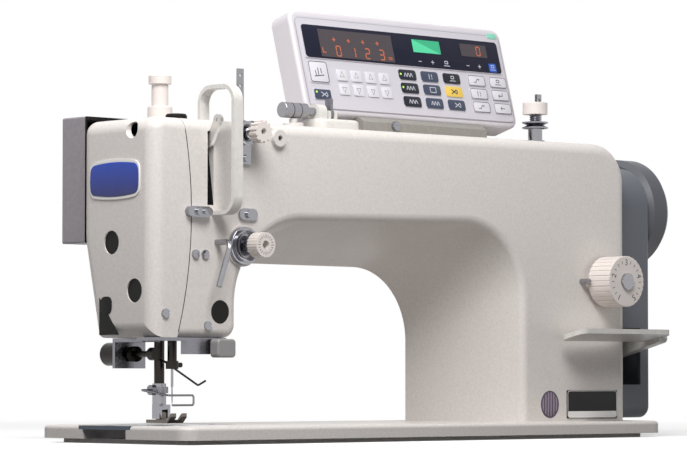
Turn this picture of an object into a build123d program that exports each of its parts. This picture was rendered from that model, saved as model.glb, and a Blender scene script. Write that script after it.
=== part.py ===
from build123d import *
import os

os.makedirs("parts", exist_ok=True)

# The origin is the needle's drop point on the bed's top face.
# +X runs along the arm to the handwheel, +Y to the back, +Z up.

# Shared clearances
overrun = 6.0
fit_gap = 0.05
seat_gap = 0.3
open_gap = 0.6
edge_break = 0.8

# Bed casting
bed_length = 517.0
bed_depth = 178.0
needle_from_left = 66.0
needle_from_front = 97.0
bed_rim = 10.0
bed_corner = 12.0
bed_edge = 3.0
well_depth = 54.0
skirt_inset = 14.0
skirt_wall = 7.0
rib_thick = 10.0
rib_drop = 44.0
left_rib = 50.0
right_rib = 335.0
hinge_bore = 5.0
hinge_depth = 18.0
hinge_boss = 8.5
hinge_end = 4.0
hinge_drop = 45.0
hinge_first = 110.0
hinge_pitch = 190.0
gauge_hole = 2.5
gauge_depth = 8.0
gauge_first = 39.0
gauge_pitch = 18.0

# Needle plate and slide plate
plate_width = 62.0
plate_thick = 3.0
plate_ledge = 5.0
plate_right = 30.0
split_left = 21.0
needle_slot_width = 3.6
needle_slot_length = 11.0
plate_screw_radius = 3.2
plate_screw_drop = 0.8
plate_screw_reach = 21.0
plate_screw_inset = 9.0
slide_notch = 6.0

# Arm casting
arm_over_shaft = 53.0
arm_right = 439.0
arm_front_right = 67.0
arm_back = 45.0
arm_edge = 9.0
arm_end_round = 32.0
crease_round = 7.0
jaw_front_drop = 11.0
jaw_back_drop = 54.0
jaw_right_front = 325.0
jaw_right_back = 285.0
jaw_round_front_share = 0.713
jaw_round_back_share = 0.776
jaw_right_round = 60.0
column_cavity_left = 347.0
column_cavity_right = 425.0
column_cavity_front = 40.0
column_cavity_back = 34.0
cavity_over_pulley = 5.0

# Head end of the arm
head_left = 56.0
head_right = 27.0
head_front = 45.0
head_back = 42.0
head_bottom = 66.0
head_corner = 10.0
head_back_low = 25.0
taper_drop = 38.0
taper_round = 60.0
head_wall = 7.0
head_floor = 14.0
head_ceiling = 9.0
head_partition = 20.0
bush_length = 18.0
seam_top = 28.0
seam_middle = 19.0
seam_bottom = 34.0
cover_wall = 4.0
cover_round = 11.0

# Main shaft, belt and handwheel
shaft_height = 178.0
shaft_radius = 7.25
bush_wall = 3.0
tunnel_radius = 17.0
crank_radius = 15.5
crank_angle = 47.0
crank_web = 4.5
crank_gap = 1.5
crank_pin = 3.5
crank_rim = 3.5
pulley_left = 376.0
pulley_width = 16.0
upper_pulley_radius = 30.0
lower_pulley_radius = 15.0
belt_thick = 2.2
belt_inset = 1.0
pulley_flange = 1.5
pulley_flange_rise = 2.8
wheel_radius = 46.5
wheel_left = 491.5
wheel_length = 31.0
wheel_rim = 14.0
wheel_dish = 3.5
wheel_round = 5.0
wheel_hub = 16.0
wheel_cap = 8.0

# Motor cover
cover_right = 489.5
cover_front = 47.0
cover_back = 46.0
cover_over_shaft = 38.0
cover_foot = 2.0
cover_top_round = 34.0
cover_foot_round = 10.0
cover_skin = 3.0
cover_edge = 4.0
lever_slot_left = 455.0
lever_slot_right = 477.0
lever_slot_low = 30.0
lever_slot_high = 78.0

# Hook and lower shaft
hook_drop = 30.0
hook_left = 1.5
hook_length = 14.0
hook_radius = 19.0
hook_wall = 3.6
hook_back = 4.0
lower_shaft_radius = 6.0
basket_left = 14.0
basket_wall = 1.8
basket_reach = 7.0
bobbin_hub = 4.0
bobbin_length = 9.0
bobbin_flange = 1.0
finger_thick = 3.0
finger_width = 9.0
finger_reach = 3.0

# Feed
rock_place_share = 0.6
rock_rise = 14.0
rock_radius = 5.0
rock_left = 33.5
rock_arm_thick = 7.0
feed_bar_left = 22.0
feed_bar_width = 10.0
feed_bar_height = 6.0
feed_bar_front = 12.0
feed_pin = 3.0
feed_eye = 6.0
dog_top_drop = 0.2
dog_plate_drop = 4.6
dog_plate_thick = 3.4
dog_half_length = 9.0
dog_row_place = 5.0
dog_row_width = 2.2
dog_tooth_pitch = 1.8
dog_tooth_depth = 0.8
dog_slot_side = 0.7
dog_slot_end = 5.5

# Needle bar, its rocking frame and link
needle_bar_radius = 3.62
bar_low = 42.5
bar_over_shaft = 19.0
frame_pin_rise = 38.0
frame_pin_radius = 3.5
frame_lug = 6.4
frame_plate_thick = 3.6
frame_plate_gap = 0.8
frame_plate_width = 12.0
frame_low = 84.0
frame_bush_low = 14.0
frame_bush_high = 9.0
upper_bush_drop = 18.0
stud_drop = 33.0
stud_block_radius = 6.0
stud_block_height = 12.0
link_left = 8.2
link_thick = 2.8
link_eye = 5.6
stud_radius = 3.0
clamp_height = 6.2
clamp_radius = 4.9
clamp_screw_radius = 1.9
clamp_screw_length = 4.0
needle_shank_radius = 1.0
needle_blade_radius = 0.55
needle_tip = 14.0
needle_shank = 14.0
needle_point = 5.0

# Take-up lever and its guard
take_up_rise = 28.0
take_up_hub = 6.0
take_up_hub_left = 8.2
take_up_hub_thick = 2.8
take_up_stud = 3.0
take_up_half = 1.5
take_up_bridge_near = 9.0
take_up_bridge_far = 15.0
take_up_arm = 3.4
take_up_knee_front = 44.0
take_up_knee_rise = 7.0
take_up_eye_front = 54.0
take_up_eye_rise = 24.0
take_up_eye = 4.2
take_up_eye_hole = 1.3
slot_half = 3.0
slot_drop = 12.0
slot_rise = 44.0
guard_left = 1.0
guard_width = 9.0
guard_thick = 3.0
guard_root = 30.0
guard_rise = 26.0
guard_out = 71.0
guard_drop = 18.0
guard_bend = 12.0

# Presser bar and foot
presser_back = 15.5
presser_radius = 4.0
presser_under_top = 33.0
presser_low = 21.0
foot_gap = 1.3
sole_thick = 2.6
sole_half = 8.0
sole_toe = 8.5
sole_heel = 22.0
toe_rise = 5.0
toe_slot = 2.4
toe_slot_back = 5.0
foot_pin_height = 8.0
foot_pin_back = 13.0
foot_pin_radius = 1.5
foot_lug_half = 2.6
foot_lug_round = 3.4
fork_half = 5.4
fork_depth = 9.0
shank_top = 31.5
shank_wall = 1.4
guard_wire = 0.8
band_wall = 1.6
band_low = 24.0
band_rise = 5.0
guard_screw = 3.9
guard_screw_rise = 3.0
guard_loop_out = 18.0
guard_loop_left = 12.0
guard_loop_right = 13.0
guard_loop_end = 8.0
guard_loop_front = 10.0
guard_loop_low = 15.0
guard_loop_high = 22.5
presser_screw_rise = 37.0
presser_disc_radius = 8.8
presser_disc = 6.5
presser_neck_radius = 6.5
presser_collar_radius = 9.6
presser_collar = 13.0
presser_stem_radius = 5.0
presser_stem = 24.0

# Hand lifter at the back of the head
lifter_left = 6.0
lifter_drop = 56.0
lifter_shaft = 4.0
lifter_hub = 8.0
lifter_arm = 46.0
lifter_lean = 10.0
lifter_width = 9.0
lifter_thick = 4.0
lifter_pad = 14.0

# Rear solenoid box
box_left = 52.0
box_right = 2.0
box_over_top = 4.6
box_tall = 97.0
box_depth = 28.0
box_skin = 2.0
box_edge = 1.5

# Face plate dress
plug_radius = 9.0
plug_sink = 1.2
plug_recess = 3.0
plug_first_back = 4.3
plug_first_height = 137.7
plug_second_front = 23.3
plug_second_height = 101.0
front_plug_place = 9.8
front_plug_rise = 19.5
badge_width = 56.0
badge_height = 21.5
badge_drop = 46.0
badge_thick = 1.4
badge_bow = 2.3
badge_corner = 5.0
cover_screw_radius = 3.4
cover_screw_head = 1.8
cover_screw_rise = 18.0
cover_screw_place = 44.0
access_front = 19.7
access_drop = 9.0
access_taper = 20.0
access_scoop = 7.0
access_depth = 9.0
front_screw_rise = 9.0
front_screw_place = 3.0
pair_screw_first = 15.0
pair_screw_pitch = 9.5
pair_screw_drop = 49.3

# Thread guides on the head
face_guide_drop = 17.5
face_guide_left = 25.0
face_guide_length = 23.0
face_guide_width = 8.0
face_guide_thick = 2.0
face_guide_boss = 4.5
rod_place = 6.0
rod_under_shaft = 40.0
rod_radius = 2.2
rod_reach = 17.0
rod_drop = 34.0
rod_lean = 12.0
rod_bend = 6.0
arm_guide_place = 36.0
arm_guide_drop = 18.0
arm_guide_length = 18.0
arm_guide_width = 9.0
post_width = 5.6
post_thick = 2.4
post_rise = 43.0
post_left_place = 49.0
post_left_front = 22.0
post_right_place = 384.0
post_right_front = 17.0
post_foot = 4.5
post_foot_rise = 3.0
post_hole = 1.5
post_hole_pitch = 8.0

# Main tension
tension_place = 31.0
tension_drop = 42.0
tension_boss_radius = 15.8
tension_boss_rise = 1.5
tension_base_radius = 14.5
tension_base = 4.0
tension_disc_radius = 11.7
tension_disc = 1.1
tension_disc_cone = 1.6
tension_stud = 2.5
tension_spring_radius = 5.5
tension_spring_length = 6.0
tension_knob_radius = 9.6
tension_knob = 11.0
tension_knob_bore = 3.2
tension_flutes = 24
tension_flute_depth = 0.5

# Pre-tension
pre_place = 33.0
pre_drop = 9.0
pre_boss_radius = 8.0
pre_boss_rise = 1.5
pre_bracket_thick = 1.6
pre_bracket_width = 9.0
pre_bracket_drop = 24.0
pre_disc_radius = 9.0
pre_knob_radius = 8.6
pre_knob = 8.0
pre_spring_radius = 4.6
pre_spring_length = 8.0
pre_lobes = 12
pre_lobe_radius = 1.3

# Guide boss right of the pre-tension
hole_boss_place = 65.0
hole_boss_drop = 11.5
hole_boss_radius = 6.5
hole_boss_rise = 4.0
hole_boss_bore = 2.2

# Winder tension on the arm top
winder_tension_place = 371.0
winder_tension_front = 26.0
winder_post_radius = 3.0
winder_post_flange = 8.0
winder_post_rise = 13.0
winder_flange = 3.0
winder_disc_radius = 11.0
winder_spring_radius = 5.0
winder_spring_length = 8.0
winder_knob_radius = 10.4
winder_knob = 10.0

# Bobbin winder on the arm top
winder_base_left = 127.0
winder_base_length = 46.0
winder_base_width = 26.0
winder_base_rise = 9.0
winder_front = 15.0
winder_axis_rise = 14.5
winder_wheel_radius = 6.2
winder_wheel_left = 98.0
winder_wheel_length = 24.0
winder_groove_shares = (0.333, 0.667)
winder_rod_radius = 3.4
winder_bearing_length = 9.0
winder_lever_place = 148.0
winder_lever_rise = 21.0
winder_lever_width = 6.0
winder_lever_thick = 3.0
winder_lever_hub = 4.5
stop_rim = 2.0

# Operation panel
panel_left = 131.0
panel_width = 239.0
panel_height = 88.0
panel_thick = 22.0
panel_corner = 9.0
panel_edge = 3.0
panel_rise = 14.2
panel_front = 8.0
panel_tilt = 15.5
overlay_inset = 5.0
overlay_thick = 0.8
display_rise = 0.9
display_height = 29.0
display_width = 222.0
display_middle_share = 0.696
key_rise = 0.7
key_corner = 1.2
key_row_shares = (0.444, 0.314, 0.181)
key_pad_shares = (
    ((0.494, 0.599, 0.705), key_row_shares, (0.079, 0.106)),
    ((0.827, 0.932), key_row_shares, (0.079, 0.106)),
    ((0.185, 0.25, 0.316, 0.38), (0.386, 0.25), (0.046, 0.106)),
    ((0.081,), (0.4,), (0.088, 0.217)),
    ((0.081,), (0.184,), (0.076, 0.102)),
)
bracket_left = 186.0
bracket_length = 140.0
bracket_face = 14.0
bracket_depth = 52.0
bracket_thick = 4.0
bracket_wall = 5.0
bracket_bolt_radius = 4.0
bracket_bolt_head = 3.0
bracket_bolt_rise = 8.0

# Stitch length dial
dial_place = 411.0
dial_height = 115.5
dial_boss_radius = 13.0
dial_boss_rise = 2.5
dial_radius = 21.0
dial_skirt = 9.0
dial_length = 24.0
dial_cap_radius = 6.8
dial_cap_rise = 2.4
dial_hub = 4.0
dial_flutes = 30
dial_flute_depth = 0.6
pin_gap = 1.5
pin_radius = 2.4
pin_length = 9.0
pin_sink = 6.0

# Reverse lever
paddle_left = 352.0
paddle_right = 463.0
paddle_front = 97.0
paddle_back = 72.0
paddle_height = 72.0
paddle_slope = 6.0
paddle_thick = 4.0
paddle_corner = 8.0
lever_pivot_front = 18.0
lever_pivot_height = 58.0
lever_shank_left = 459.0
lever_shank_thick = 10.0
lever_hub = 9.0
lever_pin = 4.0
lever_pin_sink = 8.0

# Plates on the column
nameplate_left = 369.0
nameplate_length = 57.0
nameplate_low = 2.5
nameplate_height = 23.0
nameplate_thick = 0.8

# Hand switch under the head
switch_place = 7.0
switch_height = 58.0
switch_radius = 9.0
switch_length = 14.0
switch_cap = 9.0
switch_wall = 1.6
switch_travel = 2.0
switch_neck = 5.0
switch_arm_length = 30.0
switch_arm_height = 9.0
switch_arm_thick = 7.0
strip_thick = 2.5
strip_length = 62.0
strip_width = 20.0

# Thread wiper
wiper_place = 12.0
wiper_height = 54.0
wiper_solenoid_radius = 9.0
wiper_solenoid_length = 24.0
wiper_solenoid_front = 39.0
wiper_shaft_radius = 2.4
wiper_boot_radius = 6.0
wiper_boot_length = 5.0
wiper_clamp_radius = 5.0
wiper_clamp_length = 6.0
wiper_wire_back = 7.4
wiper_wire_radius = 0.8
wiper_wire_reach = 32.0
wiper_wire_low = 30.0
wiper_wire_bend = 2.0
wiper_hook_reach = 7.5
wiper_hook_rise = 3.5
wiper_plate_thick = 3.0
wiper_plate_width = 30.0
wiper_plate_low = 43.0

# Places worked out from the sizes above
bed_left = -needle_from_left
bed_front = -needle_from_front
bed_back = bed_front + bed_depth
skirt_inside = bed_back - skirt_inset - skirt_wall
rock_back = skirt_inside * rock_place_share
bed_middle = (bed_left + bed_length / 2, bed_front + bed_depth / 2)
arm_top = shaft_height + arm_over_shaft
jaw_top_front = shaft_height - jaw_front_drop
jaw_top_back = shaft_height - jaw_back_drop
jaw_left_round_front = (jaw_top_front - head_bottom) * jaw_round_front_share
jaw_left_round_back = (jaw_top_back - head_bottom) * jaw_round_back_share
taper_top = shaft_height - taper_drop
column_cavity_top = shaft_height + upper_pulley_radius + cavity_over_pulley
cover_top = shaft_height + cover_over_shaft
frame_pin_height = shaft_height + frame_pin_rise
bar_high = shaft_height + bar_over_shaft
frame_upper_bush = shaft_height - upper_bush_drop
stud_height = shaft_height - stud_drop
take_up_pivot = shaft_height + take_up_rise
slot_low = shaft_height - slot_drop
slot_high = shaft_height + slot_rise
guard_low = shaft_height - guard_drop
guard_top = arm_top + guard_rise
presser_top = arm_top - presser_under_top
lifter_height = shaft_height - lifter_drop
box_high = arm_top + box_over_top
box_low = box_high - box_tall
front_plug_height = head_bottom + front_plug_rise
badge_place_height = arm_top - badge_drop
cover_screw_height = head_bottom + cover_screw_rise
access_height = arm_top - access_drop
front_screw_height = head_bottom + front_screw_rise
pair_screw_height = shaft_height - pair_screw_drop
face_guide_height = shaft_height - face_guide_drop
rod_height = shaft_height - rod_under_shaft
arm_guide_height = shaft_height - arm_guide_drop
tension_height = shaft_height - tension_drop
pre_height = arm_top - pre_drop
hole_boss_height = arm_top - hole_boss_drop
panel_low = arm_top + panel_rise
front_slope = (arm_front_right - head_front) / (arm_right - head_right)
front_face = Plane(
    origin=(head_right, -head_front, 0),
    x_dir=(1, -front_slope, 0),
    z_dir=(-front_slope, -1, 0),
)


def front_at(place):
    """Distance from the needle line to the arm's front face at a place along the arm."""
    return head_front + max(0, place - head_right) * front_slope


def along_face(place):
    """Place along the slanted front face for a place along the arm."""
    return (place - head_right) * (1 + front_slope**2) ** 0.5


def turn(plane, steps):
    """Add a turned stack of discs along the plane's normal to the part being built."""
    for start, end, radius in steps:
        with BuildSketch(plane.offset(start)) as disc:
            Circle(radius)
        extrude(disc.sketch, amount=end - start)


def bore(plane, start, end, radius):
    """Cut a round hole along the plane's normal out of the part being built."""
    with BuildSketch(plane.offset(start)) as disc:
        Circle(radius)
    extrude(disc.sketch, amount=end - start, mode=Mode.SUBTRACT)


def block(low, high, mode=Mode.ADD):
    """Add or cut a straight block between two corners."""
    middle = tuple((a + b) / 2 for a, b in zip(low, high))
    with Locations(middle):
        Box(high[0] - low[0], high[1] - low[1], high[2] - low[2], mode=mode)


def forward(place, height, front=0):
    """Plane that looks to the operator, with its middle at a place and a height."""
    return Plane(origin=(place, -front, height), x_dir=(1, 0, 0), z_dir=(0, -1, 0))


def upward(place, back, height):
    """Plane that looks up, with its middle at a point."""
    return Plane(origin=(place, back, height), x_dir=(1, 0, 0), z_dir=(0, 0, 1))


def sideways(place, back, height):
    """Plane that looks along the arm, with its middle at a point."""
    return Plane(origin=(place, back, height), x_dir=(0, 1, 0), z_dir=(1, 0, 0))


def finish(builder, name):
    """Label a finished piece and write it."""
    builder.part.label = name
    export_step(builder.part, f"parts/{name}.step")


def head_outline(inset, floor, ceiling):
    """Closed end view of the head, inset by a wall, with its own floor and ceiling."""
    with BuildSketch(Plane.YZ) as outline:
        with BuildLine():
            Polyline(
                (-head_front + inset, floor),
                (head_back_low - inset, floor),
                (head_back - inset, taper_top),
                (head_back - inset, ceiling),
                (-head_front + inset, ceiling),
                close=True,
            )
        make_face()
        corners = outline.vertices()
        fillet(corners.sort_by_distance((head_back - inset, taper_top))[0], taper_round)
        corners = outline.vertices().group_by(Axis.Y)[-1]
        fillet(corners, arm_edge)
    return outline.sketch


def seam_side(edge, shift):
    """Side view of what lies on one side of the curved seam, out to a straight edge."""
    with BuildSketch(Plane.XZ) as side:
        with BuildLine():
            ThreePointArc(
                (-seam_top + shift, arm_top + overrun),
                (-seam_middle + shift, (arm_top + head_bottom) / 2),
                (-seam_bottom + shift, head_bottom - overrun),
            )
            Polyline(
                (-seam_bottom + shift, head_bottom - overrun),
                (edge, head_bottom - overrun),
                (edge, arm_top + overrun),
                (-seam_top + shift, arm_top + overrun),
            )
        make_face()
    return side.sketch


def jaw_outline(plane, top, right, left_round):
    """Front view of the open space under the arm and the head."""
    left = -head_left - overrun
    with BuildSketch(plane) as outline:
        with BuildLine():
            Polyline(
                (left, -overrun),
                (left, head_bottom),
                (head_right, head_bottom),
                (head_right, top),
                (right, top),
                (right, -overrun),
                close=True,
            )
        make_face()
        rounds = (
            (head_right, head_bottom, head_corner),
            (head_right, top, left_round),
            (right, top, jaw_right_round),
        )
        for place, height, radius in rounds:
            fillet(outline.vertices().sort_by_distance((place, height))[0], radius)
    return outline.sketch.faces()[0]


# Bed casting: a rounded plate over a skirt, with ribs that carry the lower shafts
with BuildPart() as bed_casting:
    with BuildSketch(Plane.XY.offset(-bed_rim)):
        with Locations(bed_middle):
            RectangleRounded(bed_length, bed_depth, bed_corner)
    extrude(amount=bed_rim)
    fillet(bed_casting.faces().sort_by(Axis.Z)[-1].edges(), bed_edge)
    with BuildSketch(Plane.XY.offset(-well_depth)):
        with Locations(bed_middle):
            Rectangle(bed_length - 2 * skirt_inset, bed_depth - 2 * skirt_inset)
            well = skirt_inset + skirt_wall
            Rectangle(bed_length - 2 * well, bed_depth - 2 * well, mode=Mode.SUBTRACT)
    extrude(amount=well_depth - bed_rim)
    for rib in (left_rib, right_rib):
        block(
            (rib - rib_thick / 2, bed_front + well, -rib_drop),
            (rib + rib_thick / 2, bed_back - well, -bed_rim),
        )
    for hinge in (hinge_first, hinge_first + hinge_pitch):
        socket = forward(hinge, -hinge_drop, skirt_inset - bed_back)
        turn(socket, [(0, hinge_depth + hinge_end, hinge_boss)])
        bore(socket, -overrun, hinge_depth, hinge_bore)
    half = plate_width / 2
    block(
        (bed_left - overrun, -half, -plate_thick),
        (plate_right, half, overrun),
        mode=Mode.SUBTRACT,
    )
    block(
        (bed_left - overrun, plate_ledge - half, -bed_rim),
        (plate_right - plate_ledge, half - plate_ledge, overrun),
        mode=Mode.SUBTRACT,
    )
    block(
        (column_cavity_left, -column_cavity_front, -bed_rim),
        (column_cavity_right, column_cavity_back, overrun),
        mode=Mode.SUBTRACT,
    )
    lower_bush = lower_shaft_radius + bush_wall
    for rib in (left_rib, right_rib):
        rib_face = rib - rib_thick / 2
        bore(sideways(rib_face, 0, -hook_drop), 0, rib_thick, lower_bush)
        rock_bore = rock_radius + fit_gap
        rock_height = -hook_drop - open_gap
        bore(sideways(rib_face, rock_back, rock_height), 0, rib_thick, rock_bore)
    for step in range(2):
        hole = upward(gauge_first + step * gauge_pitch, 0, 0)
        bore(hole, -gauge_depth, overrun, gauge_hole)
finish(bed_casting, "bed_casting")

# Open space under the arm, which narrows to the back
with BuildPart() as jaw:
    front_plane = Plane.XZ.offset(arm_front_right + overrun)
    back_plane = Plane.XZ.offset(-arm_back - overrun)
    front_jaw = jaw_outline(front_plane, jaw_top_front, jaw_right_front, jaw_left_round_front)
    back_jaw = jaw_outline(back_plane, jaw_top_back, jaw_right_back, jaw_left_round_back)
    loft([front_jaw, back_jaw], ruled=True)

# Arm casting: head, arm and column in one hollow piece
with BuildPart() as arm_casting:
    with BuildSketch(Plane.XY):
        with BuildLine():
            Polyline(
                (-head_left, -head_front),
                (head_right, -head_front),
                (arm_right, -arm_front_right),
                (arm_right, arm_back),
                (head_right, head_back),
                (-head_left, head_back),
                close=True,
            )
        make_face()
    extrude(amount=arm_top)
    end_edges = arm_casting.edges().filter_by(Axis.Y).group_by(Axis.X)[-1]
    fillet(end_edges.sort_by(Axis.Z)[-1], arm_end_round)
    top_edges = arm_casting.faces().sort_by(Axis.Z)[-1].edges()
    fillet(top_edges.filter_by(Axis.Y, reverse=True), arm_edge)
    add(jaw.part, mode=Mode.SUBTRACT)
    crease = arm_casting.edges().filter_by_position(
        Axis.Y, -arm_front_right, -head_front, inclusive=(True, True)
    )
    crease = crease.filter_by_position(Axis.X, head_right / 2, jaw_right_front + overrun)
    crease = crease.filter_by_position(Axis.Z, overrun, jaw_top_front)
    crease = crease.filter_by(lambda edge: edge.center().Z < jaw_top_front)
    fillet(crease, crease_round)
    # Boss behind the main tension, where the front face has curved away
    tension_axis = forward(tension_place, tension_height)
    boss_front = head_front + tension_boss_rise
    turn(tension_axis, [(0, boss_front, tension_boss_radius)])
    for place, height, radius, rise in (
        (pre_place, pre_height, pre_boss_radius, pre_boss_rise),
        (hole_boss_place, hole_boss_height, hole_boss_radius, hole_boss_rise),
        (dial_place, dial_height, dial_boss_radius, dial_boss_rise),
    ):
        turn(forward(place, height), [(head_front / 2, front_at(place) + rise, radius)])
    bore(
        forward(hole_boss_place, hole_boss_height),
        front_at(hole_boss_place),
        front_at(hole_boss_place) + hole_boss_rise,
        hole_boss_bore,
    )
    # Tapered back of the head
    with BuildSketch(Plane.YZ.offset(-head_left - overrun)):
        with BuildLine():
            Polyline(
                (head_back + overrun, taper_top),
                (head_back, taper_top),
                (head_back_low, head_bottom),
                (head_back_low, head_bottom - overrun),
                (head_back + overrun, head_bottom - overrun),
                close=True,
            )
        make_face()
    extrude(amount=head_left + head_right + overrun, mode=Mode.SUBTRACT)
    wedge = []
    for place, low in ((head_right, head_back_low), (head_right + jaw_left_round_back, head_back)):
        with BuildSketch(Plane.YZ.offset(place)) as section:
            with BuildLine():
                Polyline(
                    (head_back + overrun, taper_top),
                    (head_back, taper_top),
                    (low, head_bottom),
                    (head_back + overrun, head_bottom),
                    close=True,
                )
            make_face()
        wedge.append(section.sketch.faces()[0])
    add(Solid.make_loft([face.outer_wire() for face in wedge], True), mode=Mode.SUBTRACT)
    # Cavities for the needle mechanism, the main shaft and the belt
    cavity = head_outline(head_wall, head_bottom + head_floor, arm_top - head_ceiling)
    with Locations((-head_left - overrun, 0, 0)):
        add(extrude(cavity, amount=head_left + head_partition + overrun, mode=Mode.PRIVATE),
            mode=Mode.SUBTRACT)
    bush_radius = shaft_radius + bush_wall
    main_line = sideways(0, 0, shaft_height)
    bore(main_line, head_partition, arm_right, bush_radius)
    bore(main_line, head_partition + bush_length, column_cavity_left + overrun, tunnel_radius)
    block(
        (column_cavity_left, -column_cavity_front, -overrun),
        (column_cavity_right, column_cavity_back, column_cavity_top),
        mode=Mode.SUBTRACT,
    )
    # The seam to the face plate
    cut = seam_side(-head_left - overrun, seat_gap)
    add(extrude(cut, amount=head_front + head_back, both=True, mode=Mode.PRIVATE), mode=Mode.SUBTRACT)
    # Openings for the take-up lever, needle bar, presser bar and studs
    block(
        (-slot_half, -head_front - overrun, slot_low),
        (slot_half, -head_front + head_wall + overrun, slot_high),
        mode=Mode.SUBTRACT,
    )
    with BuildSketch(Plane.XY.offset(head_bottom - overrun)):
        SlotOverall(4 * needle_bar_radius, 3 * needle_bar_radius, rotation=90)
    extrude(amount=head_floor + 2 * overrun, mode=Mode.SUBTRACT)
    bore(upward(0, presser_back, 0), head_bottom - overrun, head_bottom + head_floor + overrun,
         presser_radius + fit_gap)
    bore(upward(0, presser_back, 0), arm_top - head_ceiling - overrun, arm_top + overrun,
         presser_stem_radius + fit_gap)
    bore(sideways(0, 0, frame_pin_height), head_partition - overrun, head_partition + overrun,
         frame_pin_radius)
    bore(sideways(0, 0, take_up_pivot), head_partition - overrun, head_partition + overrun,
         take_up_stud)
    bore(forward(lifter_left, lifter_height), -head_back - overrun, 2 * (head_wall + overrun) - head_back,
         lifter_shaft + fit_gap)
    bore(tension_axis, head_front - head_wall, boss_front, tension_stud)
    bore(forward(front_plug_place, front_plug_height, head_front), -plug_recess, overrun, plug_radius)
    bore(sideways(arm_right, -lever_pivot_front, lever_pivot_height), -lever_pin_sink, overrun, lever_pin)
    stop_place = dial_place - dial_radius - pin_radius - pin_gap
    bore(forward(stop_place, dial_height, front_at(stop_place)), -pin_sink, overrun, pin_radius)
    bore(forward(dial_place, dial_height), column_cavity_front - overrun,
         front_at(dial_place) + dial_boss_rise, dial_hub + fit_gap)
finish(arm_casting, "arm_casting")

# Face plate: a hollow end cover that wraps round to the front, cut along a curved seam
with BuildPart() as face_plate:
    outer = head_outline(0, head_bottom, arm_top)
    add(extrude(outer, amount=-head_left, mode=Mode.PRIVATE))
    fillet(face_plate.faces().sort_by(Axis.X)[0].edges(), cover_round)
    inner = head_outline(cover_wall, head_bottom + cover_wall, arm_top - cover_wall)
    add(extrude(inner, amount=cover_wall - head_left, mode=Mode.PRIVATE), mode=Mode.SUBTRACT)
    keep = seam_side(overrun, 0)
    add(extrude(keep, amount=head_front + head_back, both=True, mode=Mode.PRIVATE), mode=Mode.SUBTRACT)
    for back, height in (
        (plug_first_back, plug_first_height),
        (-plug_second_front, plug_second_height),
    ):
        hole = Plane(origin=(-head_left, back, height), x_dir=(0, -1, 0), z_dir=(-1, 0, 0))
        bore(hole, -cover_wall - overrun, overrun, plug_radius)
    access = Plane(origin=(-head_left, -access_front, access_height), x_dir=(0, 1, 0), z_dir=(1, 0, 0))
    with BuildSketch(access) as mouth:
        Circle(access_scoop)
    extrude(mouth.sketch, amount=access_depth, taper=access_taper, mode=Mode.SUBTRACT)
finish(face_plate, "face_plate")


def lathe(plane, points):
    """Add a turned profile, given as radius and distance along the plane's normal."""
    section = Plane(plane.origin, plane.x_dir, plane.x_dir.cross(plane.z_dir))
    with BuildSketch(section) as profile:
        with BuildLine():
            Polyline(*points, close=True)
        make_face()
    revolve(profile.sketch, axis=Axis(plane.origin, plane.z_dir))


def dished_disc(plane, start, bore_radius, radius, thick, cone):
    """Add a tension disc whose rim flares away along the plane's normal by a cone height."""
    flat = (bore_radius + radius) / 2
    lathe(plane, [
        (bore_radius, start),
        (flat, start),
        (radius, start + cone),
        (radius, start + cone + thick),
        (flat, start + thick),
        (bore_radius, start + thick),
    ])


def coil(plane, start, bore_radius, radius, length, turns):
    """Add a close-wound spring as a ribbed sleeve along the plane's normal."""
    pitch = length / turns
    wire = (radius - bore_radius) / 2
    points = [(bore_radius, start)]
    for step in range(turns):
        points.append((radius - wire, start + step * pitch))
        points.append((radius, start + (step + 0.5) * pitch))
    points.append((radius - wire, start + length))
    points.append((bore_radius, start + length))
    lathe(plane, points)


def fluted(plane, start, end, radius, count, flute):
    """Add a round grip with small flutes round its rim."""
    with BuildSketch(plane.offset(start)) as grip:
        Circle(radius)
        with PolarLocations(radius, count):
            Circle(flute, mode=Mode.SUBTRACT)
    extrude(grip.sketch, amount=end - start)


def slotted_screw(plane, start, radius, head):
    """Add a screw head with a driver slot, its face a head height above its start."""
    turn(plane, [(start, start + head, radius)])
    with BuildSketch(plane.offset(start + head / 2)) as slot:
        Rectangle(2 * radius + head, radius / 3)
    extrude(slot.sketch, amount=head, mode=Mode.SUBTRACT)


def outward(back, height):
    """Plane on the face plate's end that looks away from the arm."""
    return Plane(origin=(-head_left, back, height), x_dir=(0, -1, 0), z_dir=(-1, 0, 0))


# Rubber plugs in the face plate and the head's front
with BuildPart() as rubber_plugs:
    for plane in (
        outward(plug_first_back, plug_first_height),
        outward(-plug_second_front, plug_second_height),
    ):
        turn(plane, [(-cover_wall, -plug_sink, plug_radius)])
    front_plug = forward(front_plug_place, front_plug_height, head_front)
    turn(front_plug, [(-plug_recess, -plug_sink / 2, plug_radius)])
finish(rubber_plugs, "rubber_plugs")

# Badge: a plain barrel-shaped plate with bowed sides
with BuildPart() as badge_plate:
    with BuildSketch(outward(0, badge_place_height)) as badge:
        side = badge_width / 2
        rise = badge_height / 2
        with BuildLine():
            ThreePointArc((-side, -rise), (0, -rise - badge_bow), (side, -rise))
            ThreePointArc((side, -rise), (side + badge_bow / 2, 0), (side, rise))
            ThreePointArc((side, rise), (0, rise + badge_bow), (-side, rise))
            ThreePointArc((-side, rise), (-side - badge_bow / 2, 0), (-side, -rise))
        make_face()
        fillet(badge.vertices(), badge_corner)
    extrude(amount=badge_thick)
    fillet(badge_plate.faces().sort_by(Axis.X)[0].edges(), badge_thick / 2)
finish(badge_plate, "badge_plate")

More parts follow.
